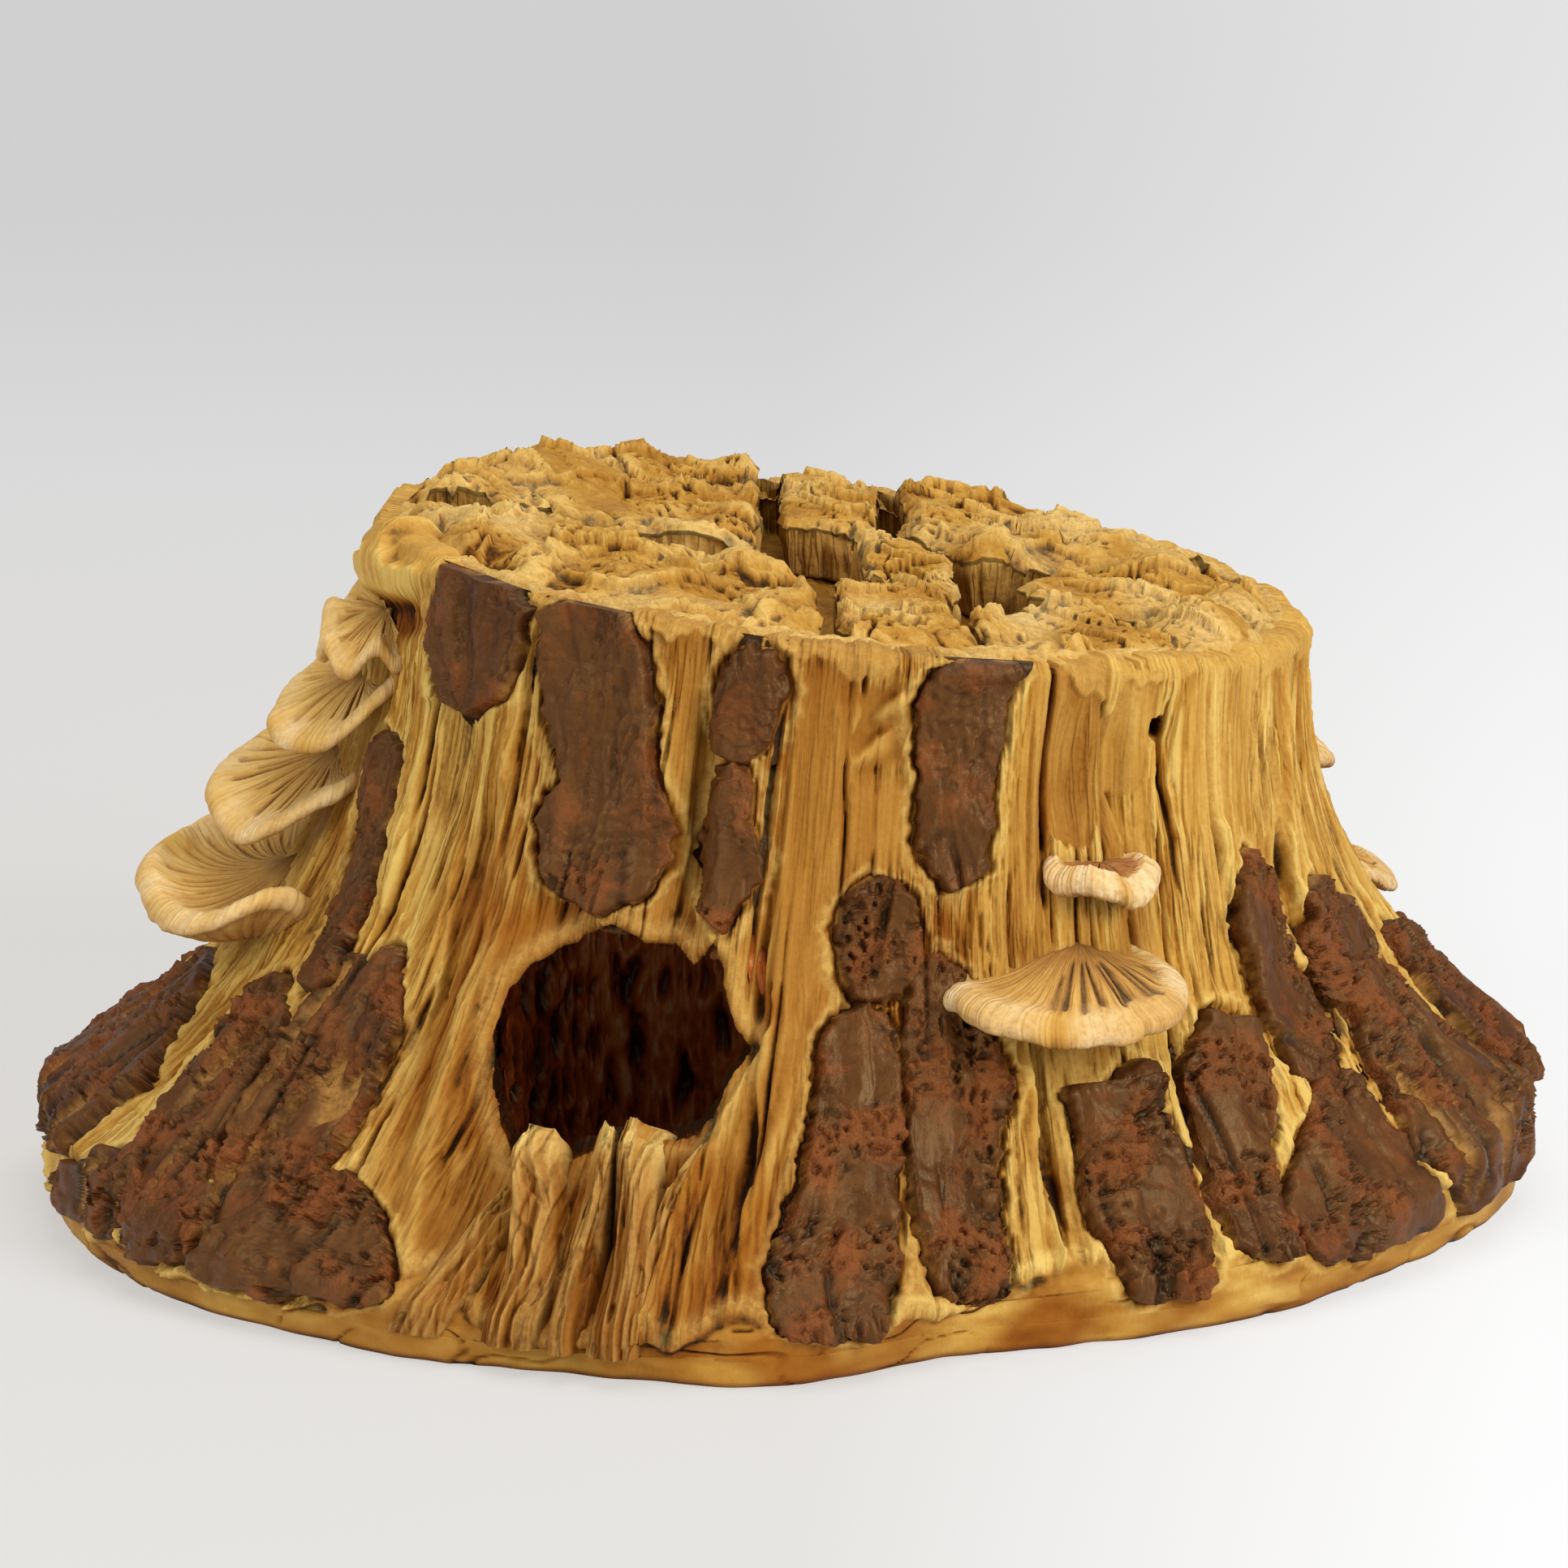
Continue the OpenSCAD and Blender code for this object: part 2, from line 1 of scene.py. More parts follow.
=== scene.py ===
import math
import bpy
import bmesh
import numpy as np
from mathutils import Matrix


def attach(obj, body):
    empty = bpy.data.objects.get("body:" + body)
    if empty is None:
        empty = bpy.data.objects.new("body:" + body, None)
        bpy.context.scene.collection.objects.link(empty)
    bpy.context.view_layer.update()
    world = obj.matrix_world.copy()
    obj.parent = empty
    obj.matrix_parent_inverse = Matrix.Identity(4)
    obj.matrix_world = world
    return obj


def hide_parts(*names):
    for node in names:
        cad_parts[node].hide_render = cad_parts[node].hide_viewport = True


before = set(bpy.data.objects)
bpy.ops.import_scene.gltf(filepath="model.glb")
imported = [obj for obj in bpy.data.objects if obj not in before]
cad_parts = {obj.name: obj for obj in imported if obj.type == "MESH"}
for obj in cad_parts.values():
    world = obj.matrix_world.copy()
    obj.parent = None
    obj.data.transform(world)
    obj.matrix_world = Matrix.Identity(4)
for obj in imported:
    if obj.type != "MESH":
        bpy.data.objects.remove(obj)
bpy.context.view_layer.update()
print("packed stump loaded")

mm = 0.001

# the stump's main sizes, in millimetres and degrees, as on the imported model

stump = {
    "footWidth": 296, "footDepth": 250, "baseThick": 5,
    "rimWidth": 185, "rimDepth": 160, "rimHeight": 126, "rimFall": 6.5, "rimRise": 1.7,
    "leanX": 10, "leanY": 6, "ribHeight": 1.2, "crownSwell": 1.3,
    "footLobes": [-2.5, -0.5, 0, 1, 1, -0.5, -2, -1.5, 0, 1, 1, 1, 0.5, -0.5, 0, -2, -2, -0.5, -1,
                  -13, -13, -12, -13, -8],
    "edgeHeights": [25, 24, 18, 14, 16, 22, 22, 16, 9, 9, 11, 14],
    "sweeps": [2.2, 2.3, 2.6, 3.0, 2.4, 2.2],
    "furrows": [  # angle, half width, lift, lowest and highest height
        (253.5, 3.6, -4.5, 70, 116), (249, 2.2, 1.2, 84, 118), (266, 3, 4, 14, 84), (234.5, 2.4, -3, 28, 50),
        (275, 5, -2.4, 96, 120), (276, 5.5, 1.2, 74, 98), (302, 3.5, -3.2, 84, 112),
        (309, 3.5, -3.4, 84, 112), (316, 3, -2.6, 84, 112), (296, 2.6, -2.4, 12, 56),
        (313, 1.9, -2.4, 12, 50), (324, 2.2, -2.4, 38, 80), (336, 1.9, -2.4, 40, 80),
        (197, 2.5, -3.2, 20, 60), (225.5, 3, -3, 36, 96), (21, 2.8, -3, 24, 80), (34.5, 3, -2.8, 78, 118),
        (73, 4, -3.2, 20, 90), (109, 3, -3.2, 20, 74), (128, 3.5, -2.8, 20, 80), (170, 4, -3, 24, 96)],
}

# small helpers for numbers

dice = np.random.default_rng(41)
shuffled = np.tile(dice.permutation(256), 4)
slopes = dice.normal(size=(256, 3))
slopes = (slopes / np.linalg.norm(slopes, axis=1)[:, None]).astype(np.float32)


def softNoise(x, y, z, seed=0):
    # smooth noise between about -1 and 1, one wave per unit
    x, y, z = np.broadcast_arrays(x, y, z)
    spot = [np.floor(c).astype(np.int64) for c in (x, y, z)]
    part = [(c - f).astype(np.float32) for c, f in zip((x, y, z), spot)]
    ease = [p * p * p * (p * (p * 6 - 15) + 10) for p in part]
    wave = np.zeros(x.shape, np.float32)
    for dx in (0, 1):
        kx = shuffled[(spot[0] + dx + seed * 37) & 255]
        wx = ease[0] if dx else 1 - ease[0]
        for dy in (0, 1):
            ky = shuffled[(kx + spot[1] + dy) & 255]
            wy = wx * (ease[1] if dy else 1 - ease[1])
            for dz in (0, 1):
                slope = slopes[shuffled[(ky + spot[2] + dz) & 255]]
                dot = sum(slope[..., k] * (part[k] - d) for k, d in enumerate((dx, dy, dz)))
                wave += wy * (ease[2] if dz else 1 - ease[2]) * dot
    return wave * 1.7


def noiseOver(x, y):
    # noise over two coordinates in mm: size of a wave in mm, third coordinate in waves, seed
    return lambda size, third, seed: softNoise(x / size, y / size, third, seed)


def roughNoise(p, size, layers=3, seed=0):
    # several waves on top of each other, p in mm, size of the largest in mm
    wave, share = 0, 1.0
    for k in range(layers):
        wave = wave + share * softNoise(*(p[..., i] / size for i in range(3)), seed + k)
        size, share = size * 0.47, share * 0.5
    return wave


def clamp(t):
    return np.clip(t, 0, 1)


def smooth(t):
    t = clamp(t)
    return t * t * (3 - 2 * t)


def bump(u):
    # a round hill that ends at -1 and 1
    return np.where(np.abs(u) < 1, (np.cos(math.pi * u) + 1) / 2, 0)


def peak(x, width):
    # a hill that fades out on both sides
    return np.exp(-(x / width) ** 2)


def unit(p):
    return p / np.maximum(np.linalg.norm(p, axis=-1, keepdims=True), 1e-9)


def turnBetween(a, b):
    return (a - b + 180) % 360 - 180


def fade(z, low, high, run=10):
    return clamp((z - low) / run) * clamp((high - z) / run)


def roundTable(values, a):
    # a smooth closed curve through values spread evenly round the circle
    table = np.array(values, float)
    u = (np.asarray(a) % 360) * len(table) / 360
    i = np.floor(u).astype(int)
    f = u - i
    p0, p1, p2, p3 = (table[(i + k) % len(table)] for k in (-1, 0, 1, 2))
    return p1 + 0.5 * f * (p2 - p0 + f * (2 * p0 - 5 * p1 + 4 * p2 - p3 + f * (3 * (p1 - p2) + p3 - p0)))


def boxBlur(field, down, across):
    for axis, reach in ((0, down), (1, across)):
        reach = max(1, int(reach))
        edges = [(0, 0), (0, 0)]
        edges[axis] = (reach + 1, reach)
        sums = np.pad(field, edges, mode="edge").cumsum(axis)
        ahead = np.take(sums, np.arange(2 * reach + 1, sums.shape[axis]), axis)
        behind = np.take(sums, np.arange(0, sums.shape[axis] - 2 * reach - 1), axis)
        field = (ahead - behind) / (2 * reach + 1)
    return field


def softBlur(field, down, across):
    return boxBlur(boxBlur(field, down, across), down, across)


# the wall's plain surface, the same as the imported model's

drum = 95.0  # radius of a plain drum, on which patterns close round the stump


def ringNoise(a):
    r = np.radians(a)
    return noiseOver(drum * np.cos(r), drum * np.sin(r))


def arcFrom(a, angle):
    # distance round the drum from an angle
    return np.radians(a - angle) * drum


def ringGrain(a, along):
    # the brush follows the drum, and along says how far up it is
    r = np.radians(a)
    return np.stack([drum * np.cos(r), drum * np.sin(r), along], -1)


def ovalRadius(width, depth, a):
    r = np.radians(a)
    return 1 / np.sqrt((2 * np.cos(r) / width) ** 2 + (2 * np.sin(r) / depth) ** 2)


def crownZ(x, y):
    fall = math.tan(math.radians(stump["rimFall"]))
    rise = math.tan(math.radians(stump["rimRise"]))
    return stump["rimHeight"] - fall * (x - stump["leanX"]) + rise * (y - stump["leanY"])


def rimRadius(a):
    return ovalRadius(stump["rimWidth"], stump["rimDepth"], a)


def footRadius(a):
    return ovalRadius(stump["footWidth"], stump["footDepth"], a) + roundTable(stump["footLobes"], a)


def rimZ(a):
    r = np.radians(a)
    return crownZ(stump["leanX"] + rimRadius(a) * np.cos(r), stump["leanY"] + rimRadius(a) * np.sin(r))


def edgeZ(a):
    return roundTable(stump["edgeHeights"], a)


def shareUp(a, z):
    return clamp((z - edgeZ(a)) / (rimZ(a) - edgeZ(a)))


def wallRadius(a, z):
    v = shareUp(a, z)
    r = np.radians(a)
    radius = rimRadius(a) + (footRadius(a) - rimRadius(a)) * (1 - v) ** roundTable(stump["sweeps"], a)
    roots = 0.9 * np.cos(11 * r + math.radians(40)) + 0.7 * np.cos(19 * r)
    radius = radius + roots * (1 - 0.5 * v) * clamp(8 * v)
    ribs = 0.6 * np.cos(23 * r + np.radians(1.2 * z + 60)) + 0.5 * np.cos(31 * r - np.radians(0.9 * z + 21))
    radius = radius + stump["ribHeight"] * ribs * clamp(8 * v) * clamp(4 * (1 - v))
    for angle, half, lift, low, high in stump["furrows"]:
        radius = radius + lift * bump(turnBetween(a, angle) / half) * fade(z, low, high)
    return radius


def leanedPlace(a, radius, z):
    # the stump leans, so its middle moves with the height
    r = np.radians(a)
    lean = z / stump["rimHeight"]
    x = stump["leanX"] * lean + radius * np.cos(r)
    y = stump["leanY"] * lean + radius * np.sin(r)
    return x, y


def wallPlace(a, v, inset=0.0):
    # v runs from -1 at the ground side of the blunt foot, over 0 at its edge, to 1 at the rim
    low, high = edgeZ(a), rimZ(a)
    z = low + np.where(v < 0, low - stump["baseThick"], high - low) * np.clip(v, -1, 1)
    x, y = leanedPlace(a, wallRadius(a, z) - inset, z)
    return np.stack([x, y, np.where(v > 1, crownZ(x, y), z)], -1)


def wallShare(a, z):
    return np.where(z < edgeZ(a), (z - edgeZ(a)) / (edgeZ(a) - stump["baseThick"]), shareUp(a, z))


def wallNormal(a, v):
    along = wallPlace(a + 0.8, v) - wallPlace(a - 0.8, v)
    up = wallPlace(a, np.minimum(1, v + 0.02)) - wallPlace(a, np.maximum(-1, v - 0.02))
    return unit(np.cross(along, up))


def downSlope(a, z):
    # height measured down the slope of the flared foot
    return z - 0.9 * np.maximum(wallRadius(a, z) - rimRadius(a), 0)


# finishes: cast resin, painted and dry brushed

def paintColour(code):
    # a written colour such as c89b4b, as a linear one
    parts = [int(code[k:k + 2], 16) / 255 for k in (0, 2, 4)]
    return tuple(p / 12.92 if p <= 0.04045 else ((p + 0.055) / 1.055) ** 2.4 for p in parts) + (1.0,)


def addNode(tree, kind, sockets=None, **settings):
    made = tree.nodes.new(kind)
    for name, value in settings.items():
        setattr(made, name, value)
    for name, value in (sockets or {}).items():
        if isinstance(value, bpy.types.NodeSocket):
            tree.links.new(value, made.inputs[name])
        else:
            made.inputs[name].default_value = value
    return made


def mathNode(tree, way, a, b=0.0, limit=False):
    made = addNode(tree, "ShaderNodeMath", {0: a, 1: b}, operation=way)
    made.use_clamp = limit
    return made.outputs[0]


def plus(tree, a, b, limit=False):
    return mathNode(tree, "ADD", a, b, limit)


def times(tree, a, b, limit=False):
    return mathNode(tree, "MULTIPLY", a, b, limit)


def offMiddle(tree, value, middle, share):
    # how far a value is over its middle, times a share
    return times(tree, mathNode(tree, "SUBTRACT", value, middle), share)


def awayFrom(tree, value, middle):
    return mathNode(tree, "ABSOLUTE", mathNode(tree, "SUBTRACT", value, middle))


def spread(tree, value, low, high, toLow=0.0, toHigh=1.0):
    sockets = {"Value": value, "From Min": low, "From Max": high, "To Min": toLow, "To Max": toHigh}
    return addNode(tree, "ShaderNodeMapRange", sockets).outputs[0]


def mixColour(tree, share, first, second, way="MIX"):
    made = addNode(tree, "ShaderNodeMix", {0: share, 6: first, 7: second}, data_type="RGBA", blend_type=way)
    return made.outputs[2]


def noiseNode(tree, vector, scale, detail, roughness, distortion=0.0):
    sockets = {"Vector": vector, "Scale": scale, "Detail": detail, "Roughness": roughness,
               "Distortion": distortion}
    return addNode(tree, "ShaderNodeTexNoise", sockets).outputs["Fac"]


def attributeNode(tree, name):
    return addNode(tree, "ShaderNodeAttribute", attribute_name=name).outputs


def resinFinish(name, look):
    material = bpy.data.materials.new(name)
    material.use_nodes = True
    tree = material.node_tree
    shader = tree.nodes["Principled BSDF"]
    paint = attributeNode(tree, "paint")
    parts = addNode(tree, "ShaderNodeSeparateColor", {"Color": paint["Color"]})
    relief, glazeAndShade, combed = (parts.outputs[k] for k in range(3))
    grain = attributeNode(tree, "grain")["Vector"]
    place = addNode(tree, "ShaderNodeTexCoord").outputs["Object"]
    fine = noiseNode(tree, grain, look["lineScale"], 1.6, 0.55)
    strand = noiseNode(tree, grain, look["lineScale"] * 0.45, 2.0, 0.5)
    grit = noiseNode(tree, place, look["gritScale"], 4.0, 0.65)
    cloud = noiseNode(tree, place, look["cloudScale"], 3.0, 0.55)
    # the tone: relief, which brings painted shade in the grooves and painted highlights on the ridges, combed
    # lines, grit and clouds together
    comb = spread(tree, awayFrom(tree, fine, 0.5), 0.0, 0.12)
    lines = offMiddle(tree, comb, 0.72, look["lineTone"] * 0.5)
    lines = plus(tree, lines, offMiddle(tree, strand, 0.5, look["lineTone"] * 0.8))
    lines = times(tree, lines, combed)
    tone = plus(tree, plus(tree, relief, lines), offMiddle(tree, grit, 0.5, look["gritTone"]))
    tone = plus(tree, tone, offMiddle(tree, cloud, 0.5, look["cloudTone"]), True)
    ramp = addNode(tree, "ShaderNodeValToRGB", {"Fac": tone})
    stops = look["tones"]
    while len(ramp.color_ramp.elements) < len(stops):
        ramp.color_ramp.elements.new(0.5)
    for element, (at, code) in zip(ramp.color_ramp.elements, stops):
        element.position = at
        element.color = paintColour(code)
    colour = ramp.outputs["Color"]
    # brown glaze, which also carries painted shade, rusty patches, pale brushed edges, which also carry
    # painted highlights, and thin dark scratches along the grain
    washed = mixColour(tree, 1.0, colour, paintColour(look["glazeAndShade"]), "MULTIPLY")
    glazeShadeShare = times(tree, glazeAndShade, spread(tree, cloud, 0.3, 0.6, 0.65, 1.1), True)
    colour = mixColour(tree, glazeShadeShare, colour, washed)
    roughness = look["gritDepth"]
    if look.get("patch"):
        rust = attributeNode(tree, "rust")["Fac"]
        blot = noiseNode(tree, place, look["patchScale"], 5.0, 0.7, 0.6)
        blot = plus(tree, blot, offMiddle(tree, rust, 0.4, 0.3))
        blot = spread(tree, blot, look["patchFrom"], look["patchFrom"] + 0.22, 0.0, look["patchShare"])
        colour = mixColour(tree, blot, colour, paintColour(look["patch"]))
        roughness = times(tree, spread(tree, rust, 0.0, 0.8, 0.25, 1.5), look["gritDepth"])
    brushedAndHighlit = times(tree, paint["Alpha"], spread(tree, grit, 0.35, 0.6, 0.45, 1.15), True)
    colour = mixColour(tree, brushedAndHighlit, colour, paintColour(look["edge"]))
    if look.get("scratch"):
        hair = noiseNode(tree, grain, look["scratch"], 1.0, 0.5)
        hair = spread(tree, awayFrom(tree, hair, 0.5), 0.0, 0.009, 1.0, 0.0)
        hair = times(tree, times(tree, hair, spread(tree, strand, 0.48, 0.6, 0.0, 0.55)), combed)
        colour = mixColour(tree, hair, colour, paintColour(stops[0][1]))
    tree.links.new(colour, shader.inputs["Base Color"])
    gloss = spread(tree, cloud, 0.3, 0.7, look["rough"] - 0.07, look["rough"] + 0.07)
    tree.links.new(gloss, shader.inputs["Roughness"])
    shader.inputs["Specular IOR Level"].default_value = look["shine"]
    shader.inputs["Specular Tint"].default_value = paintColour("f2d49c")
    height = times(tree, times(tree, comb, combed), look["lineDepth"])
    height = plus(tree, height, times(tree, grit, roughness))
    raised = addNode(tree, "ShaderNodeBump", {"Strength": 1.0, "Distance": mm, "Height": height})
    tree.links.new(raised.outputs["Normal"], shader.inputs["Normal"])
    return material


woodLook = {
    "scratch": 300.0, "lineScale": 600.0, "gritScale": 900.0, "cloudScale": 28.0,
    "lineTone": 0.8, "gritTone": 0.25, "cloudTone": 0.22,
    "tones": [(0.0, "2c1602"), (0.16, "6a3f0c"), (0.36, "a06c22"), (0.6, "b98a3b"), (0.85, "ceab5a")],
    "glazeAndShade": "be9664", "edge": "dcbc6a", "rough": 0.6, "shine": 0.25, "lineDepth": 0.4, "gritDepth": 0.2,
}
crownLook = dict(
    woodLook, gritScale=620.0, gritTone=0.6, gritDepth=0.45, lineTone=0.5, edge="dcc080",
    tones=[(0.0, "301a04"), (0.2, "6e4410"), (0.42, "a07026"), (0.64, "b68836"), (0.9, "cca456")])
splinterLook = dict(
    woodLook, edge="d2b468", lineTone=0.8, glazeAndShade="b48a54", scratch=0,
    tones=[(0.0, "241202"), (0.16, "5a3408"), (0.36, "8c5a1a"), (0.6, "aa7830"), (0.85, "c69c54")])
baseLook = dict(woodLook, lineTone=0.15, lineDepth=0.1, gritTone=0.12, rough=0.5, scratch=0)
barkLook = {
    "lineScale": 420.0, "gritScale": 520.0, "cloudScale": 45.0,
    "lineTone": 0.2, "gritTone": 0.5, "cloudTone": 0.3,
    "tones": [(0.0, "1a0a04"), (0.25, "2e1606"), (0.5, "4c290f"), (0.75, "5d3716"), (1.0, "764e26")],
    "glazeAndShade": "b0805a", "edge": "a8783a",
    "patch": "84431c", "patchScale": 130.0, "patchFrom": 0.44, "patchShare": 0.55,
    "rough": 0.44, "shine": 0.4, "lineDepth": 0.08, "gritDepth": 0.7,
}
fungusLook = {
    "lineScale": 500.0, "gritScale": 800.0, "cloudScale": 60.0,
    "lineTone": 0.35, "gritTone": 0.2, "cloudTone": 0.25,
    "tones": [(0.0, "402304"), (0.25, "86581c"), (0.5, "b28036"), (0.75, "c5984a"), (1.0, "d4b068")],
    "glazeAndShade": "c08a50", "edge": "dcc090", "rough": 0.55, "shine": 0.3, "lineDepth": 0.25, "gritDepth": 0.1,
}
caveLook = {
    "lineScale": 300.0, "gritScale": 600.0, "cloudScale": 60.0,
    "lineTone": 0.3, "gritTone": 0.3, "cloudTone": 0.3,
    "tones": [(0.0, "2a0c03"), (0.3, "7c3410"), (0.55, "b05a1e"), (0.8, "cc8040"), (1.0, "e0b284")],
    "glazeAndShade": "c08050", "edge": "c8a070", "rough": 0.34, "shine": 0.5, "lineDepth": 0.2, "gritDepth": 0.2,
}
finishes = {
    "wood": resinFinish("ochre_combed_resin", woodLook),
    "crown": resinFinish("pale_crumbled_resin", crownLook),
    "splinter": resinFinish("pale_splinter_resin", splinterLook),
    "base": resinFinish("smooth_ochre_resin", baseLook),
    "bark": resinFinish("pitted_bark_resin", barkLook),
    "fungus": resinFinish("cream_fungus_resin", fungusLook),
    "cave": resinFinish("dark_cave_resin", caveLook),
}
print("finishes mixed")


# making a piece from a grid of places

def deselectAll():
    bpy.ops.object.select_all(action="DESELECT")


def selectOnly(piece):
    deselectAll()
    piece.select_set(True)
    bpy.context.view_layer.objects.active = piece


def readPlaces(mesh):
    flat = np.empty(len(mesh.vertices) * 3, np.float32)
    mesh.vertices.foreach_get("co", flat)
    return flat.reshape(-1, 3) / mm


def writePlaces(mesh, places):
    mesh.vertices.foreach_set("co", (places.reshape(-1, 3) * mm).astype(np.float32).ravel())


def faceOut(piece, merge=False):
    # all faces look the same way, and places that coincide are merged on demand
    selectOnly(piece)
    bpy.ops.object.mode_set(mode="EDIT")
    bpy.ops.mesh.select_all(action="SELECT")
    if merge:
        bpy.ops.mesh.remove_doubles(threshold=2e-6)
        bpy.ops.mesh.select_all(action="SELECT")
    bpy.ops.mesh.normals_make_consistent(inside=False)
    bpy.ops.object.mode_set(mode="OBJECT")


def closeGrid(mesh, rows, columns, way):
    # sides: a slab's back and ends, ends: the open side of a bent profile, round: the underside of a ring
    shut = bmesh.new()
    shut.from_mesh(mesh)
    shut.verts.ensure_lookup_table()
    at = lambda i, j: shut.verts[i * columns + j]
    last, end = rows - 1, columns - 1
    if way == "sides":
        for i in range(last):
            shut.faces.new((at(i, end), at(i, 0), at(i + 1, 0), at(i + 1, end)))
        shut.faces.new([at(0, j) for j in range(end, -1, -1)])
        shut.faces.new([at(last, j) for j in range(columns)])
    if way == "ends":
        for j in range(end):
            shut.faces.new((at(0, j + 1), at(0, j), at(last, j), at(last, j + 1)))
        shut.faces.new([at(i, 0) for i in range(rows)])
        shut.faces.new([at(i, end) for i in range(last, -1, -1)])
    if way == "round":
        bmesh.ops.remove_doubles(shut, verts=shut.verts, dist=2e-6)
        bmesh.ops.holes_fill(shut, edges=[e for e in shut.edges if e.is_boundary], sides=0)
        bmesh.ops.recalc_face_normals(shut, faces=shut.faces)
    shut.to_mesh(mesh)
    shut.free()


def gridPiece(name, finish, places, relief, grain, glazeAndShade, combed, pale, close=None, flip=None, rust=None):
    # relief, the glaze, combed and pale are 0 to 1, with painted shade carried in relief and the glaze and
    # painted highlights in pale, and flip turns the faces by reading rows or columns backwards
    rows, columns = places.shape[:2]
    order = {None: np.s_[:, :], "rows": np.s_[::-1, :], "columns": np.s_[:, ::-1]}[flip]
    deselectAll()
    bpy.ops.mesh.primitive_grid_add(x_subdivisions=columns - 1, y_subdivisions=rows - 1, size=1)
    piece = bpy.context.object
    piece.name = name
    mesh = piece.data
    mesh.name = name
    writePlaces(mesh, places[order])
    while mesh.uv_layers:
        mesh.uv_layers.remove(mesh.uv_layers[0])
    layers = [np.broadcast_to(np.asarray(k, np.float32), (rows, columns))[order]
              for k in (relief, glazeAndShade, combed, pale)]
    colours = mesh.attributes.new("paint", "FLOAT_COLOR", "POINT")
    colours.data.foreach_set("color", clamp(np.stack(layers, -1)).astype(np.float32).ravel())
    along = mesh.attributes.new("grain", "FLOAT_VECTOR", "POINT")
    grain = np.broadcast_to(grain, (rows, columns, 3))[order] * mm
    along.data.foreach_set("vector", grain.astype(np.float32).ravel())
    if rust is not None:
        spots = mesh.attributes.new("rust", "FLOAT", "POINT")
        spots.data.foreach_set("value", np.asarray(rust, np.float32).ravel())
    if close:
        closeGrid(mesh, rows, columns, close)
    bpy.ops.object.shade_smooth()
    mesh.materials.clear()
    mesh.materials.append(finishes[finish])
    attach(piece, "root")
    return piece


def reliefOf(lift, down, across, scale):
    # 0 in a groove, 1 on a ridge: painted shade in the grooves and painted highlight on the ridges, partly
    #                              the real dark wash and dry brushing
    off = (lift - softBlur(lift, down, across)) / scale
    return clamp(0.58 + 0.22 * np.clip(off, -0.6, 1.2) + 0.6 * np.minimum(off + 0.6, 0))


# outlines of the bark, as angle and height, counted round each slab

barkOutlines = {
    "bark_rim_left": [(211, 134), (222, 133.5), (227, 128), (226.4, 121), (224.8, 110.5), (220, 105.8),
                      (213.8, 108), (211.2, 120)],
    "bark_above_cave": [(229.3, 127), (233, 131), (238, 130.5), (241, 127.5), (243.9, 122), (245.3, 110.4),
                        (245.6, 103), (248.7, 95.3), (249.6, 84.5), (247.5, 78.6), (245, 74.3), (238.5, 75.7),
                        (235, 78.3), (232.5, 89.5), (234.2, 97.2), (231.6, 105.7), (229.5, 117.3)],
    "bark_rim_centre": [(255.3, 125), (260.8, 125), (262.3, 115.8), (261.2, 104), (255.3, 103),
                        (254.4, 115.5)],
    "bark_beside_cave": [(254.8, 101.5), (260, 101.8), (260, 92.4), (261.5, 85.2), (258.8, 71.1),
                         (255.7, 75.7), (254.2, 84.9), (255.2, 93.6)],
    "bark_curled": [(282.3, 119.5), (288, 122), (293.8, 121), (290.2, 110.7), (289.7, 98.9), (291, 91.4),
                    (289.9, 82.1), (284.7, 78.1), (281.3, 89.2), (281.9, 99.4), (280, 112.8)],
    "bark_front_upper": [(272, 77), (275, 83), (280, 81), (282, 71), (281, 60.5), (273, 60.5)],
    "bark_front_foot_left": [(272, 60), (279, 59), (280, 38), (279, 18), (277, 4), (269, 10), (267, 20),
                             (269, 27), (271, 46)],
    "bark_front_foot_right": [(281, 65), (285, 67), (290, 54), (291, 46), (289, 26), (290, 12), (284, 12),
                              (281, 28)],
    "bark_hooked": [(299, 43), (302, 41), (305, 46.5), (309, 46), (310.5, 30), (310, 20), (309, 7), (302, 6),
                    (299, 22), (300, 33)],
    "bark_right_strip": [(317, 52), (322, 52), (323, 44), (319, 25), (318, 12), (313, 12), (313, 29),
                         (314, 43)],
    "bark_right_upper": [(329, 78), (333, 72), (333, 58), (334, 41), (333, 36), (327, 39), (326, 67)],
    "bark_right_small": [(341, 67), (347, 63), (348, 53), (344, 47), (338, 49), (338, 59)],
    "bark_right_foot": [(329, 36), (335, 35), (335, 25), (337, 5), (323, 3), (319, 17), (324, 29)],
    "bark_right_root": [(341, 51), (347, 50), (352, 33), (357, 12), (342, 10), (338, 18), (339, 38)],
    "bark_right_heel": [(354, 54), (358, 50), (362, 38), (363, 27), (357, 25), (354, 43)],
    "bark_far_left": [(176, 22), (174, 30), (180, 44), (188, 44), (194, 30), (193, 19), (183, 18)],
    "bark_left_strip": [(205, 21), (203, 35), (202, 48), (206, 45), (209, 33), (212, 18), (210, 15)],
    "bark_left_wide": [(211, 57), (217, 59), (221, 51), (222, 26), (217, 18), (213, 29), (212, 44)],
    "bark_left_ribbon": [(202, 98), (206, 97), (209, 78), (210, 64), (211, 56), (207, 52), (206, 62),
                         (203, 81)],
    "bark_knotted": [(218, 14), (221, 23), (226, 27), (231, 22), (235, 10), (230, 5), (221, 5), (215, 7)],
    "bark_left_heel": [(191, 8), (197, 16), (203, 18), (208, 17), (206, 12), (200, 6), (193, 5)],
    "bark_left_toe": [(208.5, 7), (212, 17), (215, 19), (215.5, 10), (213, 4)],
}
